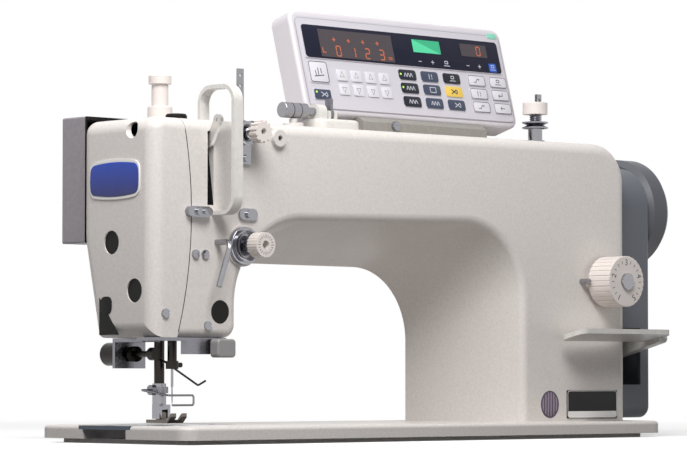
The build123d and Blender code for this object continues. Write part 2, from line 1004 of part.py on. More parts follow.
# Slotted screws on the covers, the head and the panel bracket
with BuildPart() as cover_screws:
    front_screws = (
        (-cover_screw_place, cover_screw_height),
        (-front_screw_place, front_screw_height),
        (-pair_screw_first, pair_screw_height),
        (pair_screw_pitch - pair_screw_first, pair_screw_height),
    )
    for place, height in front_screws:
        slotted_screw(forward(place, height, head_front), 0, cover_screw_radius, cover_screw_head)
    bolt = forward(bracket_left + bracket_length / 4, arm_top + bracket_bolt_rise, bracket_face)
    slotted_screw(bolt, 0, bracket_bolt_radius, bracket_bolt_head)
    half = plate_width / 2 - plate_screw_inset
    for back in (-half, half):
        slotted_screw(upward(plate_screw_reach, back, -plate_thick), 0,
                      plate_screw_radius, plate_thick - plate_screw_drop)
finish(cover_screws, "cover_screws")

# Rear box: a folded cover behind the head, open to the head's back
with BuildPart() as rear_box:
    block((-box_left, head_back, box_low), (-box_right, head_back + box_depth, box_high))
    fillet(rear_box.edges().filter_by(Axis.Y), box_edge)
    block(
        (box_skin - box_left, head_back - overrun, box_low + box_skin),
        (-box_right - box_skin, head_back + box_depth - box_skin, box_high - box_skin),
        mode=Mode.SUBTRACT,
    )
finish(rear_box, "rear_box")

# Take-up guard: a bent band that arches over the take-up lever
with BuildPart() as take_up_guard:
    with BuildSketch(Plane.YZ.offset(guard_left)):
        with BuildLine() as band:
            FilletPolyline(
                (-guard_root, arm_top),
                (-guard_root, guard_top - guard_thick / 2),
                (guard_thick / 2 - guard_out, guard_top - guard_thick / 2),
                (guard_thick / 2 - guard_out, guard_low),
                (-head_front, guard_low),
                radius=guard_bend,
            )
        trace(band.line, line_width=guard_thick)
    extrude(amount=guard_width)
finish(take_up_guard, "take_up_guard")

# Needle plate with slots for the needle and two rows of feed teeth
with BuildPart() as needle_plate:
    half = plate_width / 2 - seat_gap
    block((-split_left, -half, -plate_thick), (plate_right - seat_gap, half, 0))
    row_slot = dog_row_width + 2 * dog_slot_side
    with BuildSketch(Plane.XY):
        SlotOverall(needle_slot_length, needle_slot_width, rotation=90)
        for row in (-dog_row_place, dog_row_place):
            with Locations((row, 0)):
                Rectangle(row_slot, 2 * (dog_half_length + dog_slot_end))
        for back in (-plate_width / 2 + plate_screw_inset, plate_width / 2 - plate_screw_inset):
            with Locations((plate_screw_reach, back)):
                Circle(plate_screw_radius)
    extrude(amount=-plate_thick, mode=Mode.SUBTRACT)
finish(needle_plate, "needle_plate")

# Slide plate over the hook, with a finger hollow
with BuildPart() as slide_plate:
    half = plate_width / 2 - seat_gap
    block((bed_left, -half, fit_gap - plate_thick), (-split_left - seat_gap, half, 0))
    with BuildSketch(Plane.XY):
        with Locations((bed_left + slide_notch, 0)):
            SlotOverall(2 * slide_notch, slide_notch, rotation=90)
    extrude(amount=-plate_thick / 2, mode=Mode.SUBTRACT)
finish(slide_plate, "slide_plate")

# Thread guides: a boss guide across the seam, a bent rod, a small plate and two eyed posts
with BuildPart() as thread_guides:
    guide_middle = face_guide_length / 2 - face_guide_left
    guide_eye = guide_middle + face_guide_width / 2 - edge_break
    with BuildSketch(forward(guide_middle, face_guide_height, head_front)):
        SlotOverall(face_guide_length, face_guide_width)
    extrude(amount=face_guide_boss)
    with BuildSketch(forward(guide_eye, face_guide_height, head_front + face_guide_boss)):
        SlotOverall(face_guide_length - face_guide_width, face_guide_width - face_guide_thick)
    extrude(amount=face_guide_thick)
    turn(forward(guide_eye, face_guide_height, head_front), [
        (face_guide_boss, face_guide_boss + 2 * face_guide_thick, face_guide_thick),
    ])
    with BuildLine() as route:
        FilletPolyline(
            (rod_place, -head_front, rod_height),
            (rod_place, -head_front - rod_reach, rod_height),
            (rod_place - rod_lean, -head_front - rod_reach, rod_height - rod_drop),
            radius=rod_bend,
        )
    with BuildSketch(forward(rod_place, rod_height, head_front)) as wire:
        Circle(rod_radius)
    sweep(wire.sketch, path=route.line)
    plate_seat = front_at(arm_guide_place + arm_guide_length / 2)
    plate_face = forward(arm_guide_place, arm_guide_height, plate_seat)
    with BuildSketch(plate_face):
        SlotOverall(arm_guide_length, arm_guide_width)
    extrude(amount=face_guide_thick)
    turn(plate_face, [(face_guide_thick, 2 * face_guide_thick, arm_guide_width / 3)])
    for place, front in (
        (post_left_place, post_left_front),
        (post_right_place, post_right_front),
    ):
        turn(upward(place, -front, arm_top), [(0, post_foot_rise, post_foot)])
        block(
            (place - post_width / 2, -front - post_thick / 2, arm_top + post_foot_rise),
            (place + post_width / 2, -front + post_thick / 2, arm_top + post_rise),
        )
        for eye in (1, 2):
            eye_height = arm_top + post_rise - eye * post_hole_pitch + post_width / 2
            bore(forward(place, eye_height, front), -post_thick, post_thick, post_hole)
finish(thread_guides, "thread_guides")

# Main tension: base and stud, discs, spring and numbered knob
tension_face = forward(tension_place, tension_height, head_front + tension_boss_rise)
disc_start = tension_base + seat_gap
spring_start = disc_start + 2 * (tension_disc + tension_disc_cone)
knob_start = spring_start + tension_spring_length
with BuildPart() as tension_post:
    turn(tension_face, [
        (-head_wall, 0, tension_stud),
        (0, tension_base, tension_base_radius),
        (tension_base, knob_start + tension_knob / 2, tension_stud),
    ])
    fillet(tension_post.edges().filter_by(GeomType.CIRCLE).sort_by(Edge.radius)[-1], edge_break)
finish(tension_post, "tension_post")

with BuildPart() as tension_discs:
    stud_bore = tension_stud + fit_gap
    far_disc = disc_start + tension_disc_cone + tension_disc
    dished_disc(tension_face, far_disc, stud_bore, tension_disc_radius, tension_disc, tension_disc_cone)
    back_face = Plane(tension_face.origin, tension_face.x_dir, -tension_face.z_dir)
    dished_disc(back_face, -far_disc, stud_bore, tension_disc_radius, tension_disc, tension_disc_cone)
    coil(tension_face, spring_start - tension_disc_cone, stud_bore, tension_spring_radius,
         tension_spring_length + tension_disc_cone - seat_gap, 5)
finish(tension_discs, "tension_discs")

with BuildPart() as tension_knob_piece:
    fluted(tension_face, knob_start, knob_start + tension_knob, tension_knob_radius,
           tension_flutes, tension_flute_depth)
    bore(tension_face, knob_start, knob_start + tension_knob, stud_bore)
    bore(tension_face, knob_start + tension_knob / 2, knob_start + tension_knob, tension_knob_bore)
finish(tension_knob_piece, "tension_knob")

# Pre-tension: bracket plate with its stud, discs and spring, and a lobed knob
pre_face = forward(pre_place, pre_height, front_at(pre_place) + pre_boss_rise)
pre_disc_start = pre_bracket_thick + seat_gap
pre_far_disc = pre_disc_start + tension_disc_cone + tension_disc
pre_spring_start = pre_far_disc + tension_disc
pre_knob_start = pre_spring_start + pre_spring_length
with BuildPart() as pre_tension:
    with BuildSketch(pre_face):
        Circle(pre_disc_radius)
        with Locations((0, -pre_bracket_drop / 2)):
            Rectangle(pre_bracket_width, pre_bracket_drop)
    extrude(amount=pre_bracket_thick)
    turn(pre_face, [(pre_bracket_thick, pre_knob_start + pre_knob / 2, tension_stud)])
    low_screw = forward(pre_place, pre_height - pre_bracket_drop + pre_bracket_width / 2,
                        front_at(pre_place) + pre_boss_rise + pre_bracket_thick)
    slotted_screw(low_screw, 0, pre_bracket_width / 3, pre_bracket_thick)
    dished_disc(pre_face, pre_far_disc, stud_bore, pre_disc_radius, tension_disc, tension_disc_cone)
    back_face = Plane(pre_face.origin, pre_face.x_dir, -pre_face.z_dir)
    dished_disc(back_face, -pre_far_disc, stud_bore, pre_disc_radius, tension_disc, tension_disc_cone)
    coil(pre_face, pre_spring_start, stud_bore, pre_spring_radius, pre_spring_length - seat_gap, 6)
finish(pre_tension, "pre_tension")

with BuildPart() as pre_tension_knob:
    fluted(pre_face, pre_knob_start, pre_knob_start + pre_knob, pre_knob_radius,
           pre_lobes, pre_lobe_radius)
    bore(pre_face, pre_knob_start, pre_knob_start + pre_knob, stud_bore)
finish(pre_tension_knob, "pre_tension_knob")

# Winder tension on the arm's top: post, discs with spring, and a knob
winder_axis = upward(winder_tension_place, -winder_tension_front, arm_top)
winder_far_disc = winder_post_rise + tension_disc_cone + tension_disc
winder_spring_start = winder_far_disc + tension_disc
winder_knob_start = winder_spring_start + winder_spring_length
with BuildPart() as winder_tension:
    turn(winder_axis, [
        (0, winder_flange, winder_post_flange),
        (winder_flange, winder_post_rise - seat_gap, winder_post_radius + bush_wall),
        (winder_post_rise - seat_gap, winder_knob_start + winder_knob / 2, winder_post_radius),
    ])
    post_bore = winder_post_radius + fit_gap
    dished_disc(winder_axis, winder_far_disc, post_bore, winder_disc_radius, tension_disc,
                tension_disc_cone)
    under_side = Plane(winder_axis.origin, winder_axis.x_dir, -winder_axis.z_dir)
    dished_disc(under_side, -winder_far_disc, post_bore, winder_disc_radius, tension_disc,
                tension_disc_cone)
    coil(winder_axis, winder_spring_start, post_bore, winder_spring_radius,
         winder_spring_length - seat_gap, 5)
finish(winder_tension, "winder_tension")

with BuildPart() as winder_tension_knob:
    turn(winder_axis, [(winder_knob_start, winder_knob_start + winder_knob, winder_knob_radius)])
    fillet(winder_tension_knob.edges().group_by(Axis.Z)[-1], edge_break)
    bore(winder_axis, winder_knob_start, winder_knob_start + winder_knob / 2 + seat_gap, post_bore)
finish(winder_tension_knob, "winder_tension_knob")

# Bobbin winder: base with a bearing and ears, a turned spindle and a trip lever
winder_line = sideways(0, -winder_front, arm_top + winder_axis_rise)
with BuildPart() as winder_base:
    cap_right = winder_base_left + winder_base_length
    block(
        (winder_base_left, -winder_front - winder_base_width / 2, arm_top),
        (cap_right, -winder_front + winder_base_width / 2, arm_top + winder_base_rise),
    )
    fillet(winder_base.edges().filter_by(Axis.Z), winder_base_width / 3)
    fillet(winder_base.faces().sort_by(Axis.Z)[-1].edges(), winder_base_rise / 3)
    bearing = winder_rod_radius + bush_wall
    bearing_left = winder_base_left + winder_base_rise / 2
    turn(winder_line, [(bearing_left, bearing_left + winder_bearing_length, bearing)])
    block(
        (bearing_left, -winder_front - bearing, arm_top + winder_base_rise / 2),
        (bearing_left + winder_bearing_length, -winder_front + bearing, arm_top + winder_axis_rise),
    )
    bore(winder_line, bearing_left, bearing_left + winder_bearing_length, winder_rod_radius + fit_gap)
    ear_gap = winder_lever_thick / 2 + seat_gap
    ear_height = arm_top + winder_base_rise + winder_lever_hub + seat_gap
    for side in (-1, 1):
        ear = winder_lever_place + side * (ear_gap + winder_lever_thick / 2)
        block(
            (ear - winder_lever_thick / 2, -winder_front - winder_lever_hub,
             arm_top + winder_base_rise / 2),
            (ear + winder_lever_thick / 2, -winder_front + winder_lever_hub,
             ear_height + winder_lever_hub / 2),
        )
    turn(sideways(winder_lever_place, -winder_front, ear_height),
         [(-ear_gap - winder_lever_thick / 2, ear_gap + winder_lever_thick / 2, winder_lever_hub / 3)])
    stop_middle = winder_wheel_left + winder_wheel_length / 2
    stop_top = winder_axis_rise - winder_wheel_radius - seat_gap
    turn(upward(stop_middle, -winder_front, arm_top), [
        (0, stop_top / 2, winder_wheel_radius + stop_rim),
        (stop_top / 2, stop_top, winder_wheel_radius / 2),
    ])
finish(winder_base, "winder_base")

with BuildPart() as winder_spindle:
    wheel_end = winder_wheel_left + winder_wheel_length
    turn(winder_line, [
        (winder_wheel_left, wheel_end, winder_wheel_radius),
        (wheel_end, bearing_left + winder_bearing_length + stop_rim, winder_rod_radius),
    ])
    fillet(winder_spindle.edges().group_by(Axis.X)[0], edge_break)
    for groove_share in winder_groove_shares:
        ring_left = winder_wheel_left + groove_share * winder_wheel_length
        with BuildSketch(winder_line.offset(ring_left)) as ring:
            Circle(winder_wheel_radius)
            Circle(winder_wheel_radius - edge_break, mode=Mode.SUBTRACT)
        extrude(ring.sketch, amount=edge_break, mode=Mode.SUBTRACT)
finish(winder_spindle, "winder_spindle")

with BuildPart() as winder_lever:
    lever_face = sideways(winder_lever_place - winder_lever_thick / 2, -winder_front, ear_height)
    with BuildSketch(lever_face):
        Circle(winder_lever_hub)
        tall = winder_lever_rise - winder_base_rise
        with Locations((0, tall / 2)):
            Rectangle(winder_lever_width, tall)
        Circle(winder_lever_hub / 3 + fit_gap, mode=Mode.SUBTRACT)
    extrude(amount=winder_lever_thick)
finish(winder_lever, "winder_lever")

# Operation panel: a leaning case, its key membrane and its bracket on the arm
panel_face = Plane(origin=(panel_left, -panel_front, panel_low), x_dir=(1, 0, 0),
                   z_dir=Vector(0, -1, 0).rotate(Axis.X, -panel_tilt))
with BuildPart() as panel_case:
    with BuildSketch(panel_face):
        with Locations((panel_width / 2, panel_height / 2)):
            RectangleRounded(panel_width, panel_height, panel_corner)
    extrude(amount=-panel_thick)
    fillet(panel_case.faces().sort_by(Axis(panel_face.origin, panel_face.z_dir))[-1].edges(), panel_edge)
finish(panel_case, "panel_case")

with BuildPart() as panel_overlay:
    with BuildSketch(panel_face):
        with Locations((panel_width / 2, panel_height / 2)):
            Rectangle(panel_width - 2 * overlay_inset, panel_height - 2 * overlay_inset)
    extrude(amount=overlay_thick)
    with BuildSketch(panel_face.offset(overlay_thick)):
        with Locations((panel_width / 2, display_middle_share * panel_height)):
            RectangleRounded(display_width, display_height, key_corner)
    extrude(amount=display_rise)
    with BuildSketch(panel_face.offset(overlay_thick)):
        for columns, rows, size in key_pad_shares:
            for across in columns:
                for up in rows:
                    with Locations((across * panel_width, up * panel_height)):
                        RectangleRounded(size[0] * panel_width, size[1] * panel_height, key_corner)
    extrude(amount=key_rise)
finish(panel_overlay, "panel_overlay")

with BuildPart() as panel_bracket:
    lean_back = panel_face.from_local_coords(Vector(0, 0, -panel_thick))
    with BuildSketch(Plane.YZ.offset(bracket_left)):
        with BuildLine():
            Polyline(
                (-bracket_face, arm_top),
                (bracket_depth - bracket_face, arm_top),
                (bracket_depth - bracket_face, arm_top + bracket_thick),
                (lean_back.Y, lean_back.Z),
                (-panel_front, panel_low),
                (-bracket_face, panel_low - bracket_thick),
                close=True,
            )
        make_face()
    extrude(amount=bracket_length)
    with BuildSketch(Plane.YZ.offset(bracket_left + bracket_wall)):
        with BuildLine():
            Polyline(
                (bracket_wall - bracket_face, arm_top),
                (bracket_depth - bracket_face - bracket_wall, arm_top),
                (lean_back.Y - bracket_wall, lean_back.Z - bracket_wall),
                (bracket_wall - bracket_face, panel_low - bracket_thick - bracket_wall),
                close=True,
            )
        make_face()
    extrude(amount=bracket_length - 2 * bracket_wall, mode=Mode.SUBTRACT)
finish(panel_bracket, "panel_bracket")

# Motor cover: a moulded hood over the drive, with a slot for the reverse lever
with BuildPart() as motor_cover:
    hood_left = arm_right + seat_gap
    hood_width = cover_front + cover_back
    hood_tall = cover_top - cover_foot
    hood_middle = ((cover_back - cover_front) / 2, (cover_top + cover_foot) / 2)
    for inset, left, right, mode in (
        (0, hood_left, cover_right, Mode.ADD),
        (cover_skin, hood_left - overrun, cover_right - cover_skin, Mode.SUBTRACT),
    ):
        with BuildSketch(Plane.YZ.offset(left)) as hood:
            with Locations(hood_middle):
                Rectangle(hood_width - 2 * inset, hood_tall - 2 * inset)
            fillet(hood.vertices().group_by(Axis.Y)[-1], cover_top_round - inset)
            fillet(hood.vertices().group_by(Axis.Y)[0], cover_foot_round - inset)
        extrude(amount=right - left, mode=mode)
        if mode == Mode.ADD:
            fillet(motor_cover.faces().sort_by(Axis.X)[-1].edges(), cover_edge)
    bore(sideways(0, 0, shaft_height), cover_right - cover_skin - overrun, cover_right + overrun,
         shaft_radius + bush_wall)
    block(
        (lever_slot_left, -cover_front - overrun, lever_slot_low),
        (lever_slot_right, overrun - cover_front, lever_slot_high),
        mode=Mode.SUBTRACT,
    )
finish(motor_cover, "motor_cover")

# Main shaft with its crank, counterweight and open-ended crank pin
crank_left = head_partition - crank_gap - crank_web
pin_left = link_left + link_thick + seat_gap
crank_face = Plane(
    origin=(crank_left, 0, shaft_height),
    x_dir=Vector(0, 0, 1).rotate(Axis.X, -crank_angle),
    z_dir=(1, 0, 0),
)
wheel_end = wheel_left + wheel_length
with BuildPart() as main_shaft:
    turn(main_line, [(crank_left, wheel_end - wheel_cap, shaft_radius)])
    with BuildSketch(crank_face) as web:
        Circle(shaft_radius + bush_wall)
        with Locations((crank_radius, 0)):
            Circle(crank_pin + crank_rim / 3)
        make_hull()
        with BuildSketch(mode=Mode.PRIVATE) as weight:
            Circle(crank_radius + crank_rim)
            with Locations((crank_radius, 0)):
                Rectangle(2 * crank_radius, 4 * crank_radius, mode=Mode.SUBTRACT)
        add(weight.sketch)
    extrude(amount=crank_web)
    with BuildSketch(crank_face):
        with Locations((crank_radius, 0)):
            Circle(crank_pin)
    extrude(amount=pin_left - crank_left)
finish(main_shaft, "main_shaft")

# Bushes for the main shaft in the arm and the lower shaft in the bed's ribs
with BuildPart() as shaft_bushes:
    for plane, start, length, inner in (
        (main_line, head_partition, bush_length, shaft_radius),
        (main_line, column_cavity_right, arm_right - column_cavity_right, shaft_radius),
        (sideways(0, 0, -hook_drop), left_rib - rib_thick / 2, rib_thick, lower_shaft_radius),
        (sideways(0, 0, -hook_drop), right_rib - rib_thick / 2, rib_thick, lower_shaft_radius),
    ):
        with BuildSketch(plane.offset(start)):
            Circle(inner + bush_wall)
            Circle(inner + fit_gap, mode=Mode.SUBTRACT)
        extrude(amount=length)
finish(shaft_bushes, "shaft_bushes")

# Handwheel with a dished face and a closed hub
with BuildPart() as handwheel:
    lathe(sideways(wheel_left, 0, shaft_height), [
        (shaft_radius, 0),
        (wheel_radius - wheel_round, 0),
        (wheel_radius, wheel_round),
        (wheel_radius, wheel_length - 2 * wheel_round),
        (wheel_radius - wheel_round, wheel_length - wheel_dish),
        (wheel_radius - wheel_rim, wheel_length - wheel_dish / 2),
        (wheel_hub + wheel_round, wheel_length - 2 * wheel_dish),
        (wheel_hub, wheel_length - wheel_dish / 2),
        (wheel_hub - wheel_dish, wheel_length),
        (0, wheel_length),
        (0, wheel_length - wheel_cap),
        (shaft_radius, wheel_length - wheel_cap),
    ])
finish(handwheel, "handwheel")

def pulley(height, radius, inner):
    """Add a flanged belt pulley with a hole for its shaft."""
    face = sideways(pulley_left, 0, height)
    lathe(face, [
        (inner, 0),
        (radius + pulley_flange_rise, 0),
        (radius + pulley_flange_rise, pulley_flange),
        (radius, pulley_flange),
        (radius, pulley_width - pulley_flange),
        (radius + pulley_flange_rise, pulley_width - pulley_flange),
        (radius + pulley_flange_rise, pulley_width),
        (inner, pulley_width),
    ])


# Upper belt pulley, twice the size of the lower one
with BuildPart() as upper_pulley:
    pulley(shaft_height, upper_pulley_radius, shaft_radius)
finish(upper_pulley, "upper_pulley")

# Timing belt: a closed loop round both pulleys
with BuildPart() as timing_belt:
    belt_left = pulley_left + pulley_flange + belt_inset
    with BuildSketch(Plane.YZ.offset(belt_left)) as loop:
        for rise, mode in ((seat_gap + belt_thick, Mode.ADD), (seat_gap, Mode.SUBTRACT)):
            with BuildSketch(mode=Mode.PRIVATE) as ring:
                with Locations((0, shaft_height)):
                    Circle(upper_pulley_radius + rise)
                with Locations((0, -hook_drop)):
                    Circle(lower_pulley_radius + rise)
                make_hull()
            add(ring.sketch, mode=mode)
    extrude(amount=pulley_width - 2 * (pulley_flange + belt_inset))
finish(timing_belt, "timing_belt")

# Lower shaft with its belt pulley, and the rotary hook
hook_face = sideways(hook_left, 0, -hook_drop)
with BuildPart() as lower_shaft:
    turn(hook_face, [
        (hook_length - hook_back, pulley_left + pulley_width + overrun - hook_left, lower_shaft_radius),
    ])
    pulley(-hook_drop, lower_pulley_radius, lower_shaft_radius)
finish(lower_shaft, "lower_shaft")

hook_inner = hook_radius - hook_wall
with BuildPart() as rotary_hook:
    lathe(hook_face, [
        (hook_inner, 0),
        (hook_radius, 0),
        (hook_radius, hook_length - hook_back),
        (hook_radius - hook_back, hook_length),
        (lower_shaft_radius, hook_length),
        (lower_shaft_radius, hook_length - hook_back),
        (hook_inner, hook_length - hook_back),
    ])
    block(
        (hook_left - overrun, 0, -hook_drop + hook_inner / 2),
        (hook_left + hook_back, hook_radius + overrun, overrun),
        mode=Mode.SUBTRACT,
    )
finish(rotary_hook, "rotary_hook")

# Bobbin case and bobbin inside the hook, held still by a finger under the bed
basket_radius = hook_inner - seat_gap
basket_length = basket_left + hook_left + basket_reach
basket_face = sideways(-basket_left, 0, -hook_drop)
with BuildPart() as bobbin_case:
    lathe(basket_face, [
        (bobbin_hub, 0),
        (basket_radius, 0),
        (basket_radius, basket_length),
        (basket_radius - basket_wall, basket_length),
        (basket_radius - basket_wall, basket_wall),
        (bobbin_hub, basket_wall),
    ])
    block(
        (-basket_left + basket_wall, -finger_thick - seat_gap, basket_radius - hook_drop - finger_reach),
        (-basket_left + basket_wall + finger_width, finger_thick + seat_gap, 0),
        mode=Mode.SUBTRACT,
    )
    bobbin_start = basket_wall + seat_gap
    flange_radius = basket_radius - basket_wall - finger_reach
    turn(basket_face, [
        (bobbin_start, bobbin_start + bobbin_flange, flange_radius),
        (bobbin_start, bobbin_start + bobbin_length, bobbin_hub + basket_wall),
        (bobbin_start + bobbin_length - bobbin_flange, bobbin_start + bobbin_length, flange_radius),
    ])
    bore(basket_face, bobbin_start, basket_length, bobbin_hub)
finish(bobbin_case, "bobbin_case")

with BuildPart() as hook_finger:
    finger_left = -basket_left + basket_wall + seat_gap
    finger_right = finger_left + finger_width - 2 * seat_gap
    beam_low = -bed_rim - finger_thick
    block(
        (finger_left, -finger_thick, beam_low),
        (finger_right, skirt_inside, -bed_rim),
    )
    block(
        (finger_left, -finger_thick, basket_radius - hook_drop - finger_reach + seat_gap),
        (finger_right, finger_thick, beam_low),
    )
finish(hook_finger, "hook_finger")

# Feed: rocking shaft with its arm and pin, feed bar and feed dog
rock_height = -hook_drop - open_gap
feed_height = rock_height + rock_rise
rock_right = right_rib + rib_thick / 2 + overrun
with BuildPart() as feed_rock_shaft:
    turn(sideways(0, rock_back, rock_height), [(rock_left, rock_right, rock_radius)])
    with BuildSketch(Plane.YZ.offset(rock_left)):
        with Locations((rock_back, rock_height)):
            Circle(rock_radius + feed_pin / 2)
        with Locations((rock_back, feed_height)):
            Circle(feed_eye - fit_gap)
        make_hull()
    extrude(amount=rock_arm_thick)
    turn(sideways(0, rock_back, feed_height), [(feed_bar_left, rock_left, feed_pin)])
finish(feed_rock_shaft, "feed_rock_shaft")

with BuildPart() as feed_bar:
    bar_right = feed_bar_left + feed_bar_width
    turn(sideways(0, rock_back, feed_height), [(feed_bar_left, bar_right, feed_eye)])
    block(
        (feed_bar_left, -feed_bar_front, feed_height - feed_bar_height / 2),
        (bar_right, rock_back, feed_height + feed_bar_height / 2),
    )
    bore(sideways(0, rock_back, feed_height), feed_bar_left, bar_right, feed_pin + fit_gap)
finish(feed_bar, "feed_bar")

with BuildPart() as feed_dog:
    dog_right = plate_right - plate_ledge - open_gap
    dog_left = -dog_row_place - dog_row_width
    plate_high = -dog_plate_drop
    plate_low = plate_high - dog_plate_thick
    block((dog_left, -dog_half_length, plate_low), (dog_right, dog_half_length, plate_high))
    block((feed_bar_left, -dog_half_length, feed_height + feed_bar_height / 2),
          (dog_right, dog_half_length, plate_low))
    with BuildSketch(Plane.XY.offset(plate_low)):
        SlotOverall(needle_slot_length, needle_slot_width, rotation=90)
    extrude(amount=dog_plate_thick, mode=Mode.SUBTRACT)
    teeth = int(2 * dog_half_length / dog_tooth_pitch)
    for row in (-dog_row_place, dog_row_place):
        with BuildSketch(Plane.YZ.offset(row - dog_row_width / 2)):
            with BuildLine():
                comb = [(-dog_half_length, plate_high)]
                for tooth in range(teeth):
                    foot = tooth * dog_tooth_pitch - dog_half_length
                    comb.append((foot, -dog_top_drop - dog_tooth_depth))
                    comb.append((foot + dog_tooth_pitch, -dog_top_drop))
                comb.append((teeth * dog_tooth_pitch - dog_half_length, plate_high))
                Polyline(*comb, close=True)
            make_face()
        extrude(amount=dog_row_width)
finish(feed_dog, "feed_dog")

# Rocking frame that carries the needle bar in two bushes
frame_right = -frame_lug - frame_plate_gap
frame_left = frame_right - frame_plate_thick
with BuildPart() as needle_bar_frame:
    with BuildSketch(Plane.YZ.offset(frame_left)):
        with Locations((0, frame_pin_height)):
            Circle(frame_plate_width / 2)
        with Locations((0, (frame_pin_height + frame_low) / 2)):
            Rectangle(frame_plate_width, frame_pin_height - frame_low)
    extrude(amount=frame_plate_thick)
    bushes = ((frame_low, frame_bush_low), (frame_upper_bush, frame_bush_high))
    for start, length in bushes:
        turn(upward(0, 0, start), [(0, length, frame_lug)])
        block((frame_right, -frame_lug / 2, start), (-needle_bar_radius, frame_lug / 2, start + length))
    turn(sideways(0, 0, frame_pin_height), [(frame_right, -needle_bar_radius, frame_plate_width / 2)])
    bore(upward(0, 0, 0), frame_low - overrun, frame_pin_height - frame_plate_width,
         needle_bar_radius + fit_gap)
    bore(sideways(0, 0, frame_pin_height), frame_left - overrun, overrun, frame_pin_radius + fit_gap)
finish(needle_bar_frame, "needle_bar_frame")

# Needle bar with its link stud and needle clamp, and the needle
with BuildPart() as needle_bar:
    turn(upward(0, 0, 0), [
        (bar_low, bar_high, needle_bar_radius),
        (stud_height - stud_block_height / 2, stud_height + stud_block_height / 2, stud_block_radius),
    ])
    turn(sideways(0, 0, stud_height), [(0, link_left + link_thick, stud_radius)])
    turn(upward(0, 0, bar_low), [(0, clamp_height, clamp_radius)])
    turn(sideways(0, 0, bar_low + clamp_height / 2),
         [(needle_bar_radius, clamp_radius + clamp_screw_length, clamp_screw_radius)])
    bore(upward(0, 0, bar_low), 0, clamp_height, needle_shank_radius)
finish(needle_bar, "needle_bar")

with BuildPart() as needle:
    shank_low = bar_low - needle_shank
    lathe(upward(0, 0, 0), [
        (0, needle_tip),
        (needle_blade_radius, needle_tip + needle_point),
        (needle_blade_radius, shank_low),
        (needle_shank_radius, shank_low + needle_shank_radius),
        (needle_shank_radius, bar_low + clamp_height),
        (0, bar_low + clamp_height),
    ])
finish(needle, "needle")

# Link from the needle bar's stud to the crank pin
pin_place = crank_face.from_local_coords(Vector(crank_radius, 0, 0))
with BuildPart() as needle_link:
    with BuildSketch(Plane.YZ.offset(link_left)) as link:
        with Locations((0, stud_height), (pin_place.Y, pin_place.Z)):
            Circle(link_eye)
        make_hull()
        with Locations((0, stud_height)):
            Circle(stud_radius + fit_gap, mode=Mode.SUBTRACT)
        with Locations((pin_place.Y, pin_place.Z)):
            Circle(crank_pin + fit_gap, mode=Mode.SUBTRACT)
    extrude(amount=link_thick)
finish(needle_link, "needle_link")

# Take-up lever: a hub, a bridge to the slot's plane and a cranked arm with an eye
with BuildPart() as take_up_lever:
    bridge = (take_up_bridge_far + take_up_bridge_near) / 2
    bridge_rise = bridge * take_up_knee_rise / take_up_knee_front
    bridge_place = (-bridge, take_up_pivot + bridge_rise)
    hub_right = take_up_hub_left + take_up_hub_thick
    with BuildSketch(Plane.YZ.offset(take_up_hub_left)):
        with Locations((0, take_up_pivot)):
            Circle(take_up_hub)
        with Locations(bridge_place):
            Circle(take_up_arm)
        make_hull()
        with Locations((0, take_up_pivot)):
            Circle(take_up_stud + fit_gap, mode=Mode.SUBTRACT)
    extrude(amount=take_up_hub_thick)
    with BuildSketch(Plane.YZ.offset(-take_up_half)):
        with Locations(bridge_place):
            Circle(take_up_arm)
    extrude(amount=hub_right + take_up_half)
    with BuildSketch(Plane.YZ.offset(-take_up_half)):
        with BuildLine() as spine:
            FilletPolyline(
                bridge_place,
                (-take_up_knee_front, take_up_pivot + take_up_knee_rise),
                (-take_up_eye_front, take_up_pivot + take_up_eye_rise),
                radius=take_up_eye,
            )
        trace(spine.line, line_width=2 * take_up_arm)
        eye_place = (-take_up_eye_front, take_up_pivot + take_up_eye_rise)
        with Locations(eye_place):
            Circle(take_up_eye)
            Circle(take_up_eye_hole, mode=Mode.SUBTRACT)
    extrude(amount=2 * take_up_half)
finish(take_up_lever, "take_up_lever")

# Presser bar, foot shank with its fork, hinged sole and finger guard
presser_line = upward(0, presser_back, 0)
with BuildPart() as presser_bar:
    turn(presser_line, [(presser_low, presser_top, presser_radius)])
    fillet(presser_bar.edges().group_by(Axis.Z)[-1], edge_break)
finish(presser_bar, "presser_bar")

foot_top = foot_gap + sole_thick
fork_low = foot_top + open_gap
fork_high = foot_pin_height + foot_lug_round + open_gap
shank_radius = presser_radius + shank_wall
with BuildPart() as foot_shank:
    turn(presser_line, [(fork_high, shank_top, shank_radius)])
    block((-fork_half, foot_pin_back - fork_depth / 2, fork_low),
          (fork_half, foot_pin_back + fork_depth / 2, fork_high + foot_lug_round))
    block((-foot_lug_half - seat_gap, foot_pin_back - fork_depth, fork_low),
          (foot_lug_half + seat_gap, foot_pin_back + fork_depth, fork_high),
          mode=Mode.SUBTRACT)
    turn(sideways(0, foot_pin_back, foot_pin_height), [(-fork_half, fork_half, foot_pin_radius)])
    bore(presser_line, presser_low, shank_top, presser_radius)
finish(foot_shank, "foot_shank")

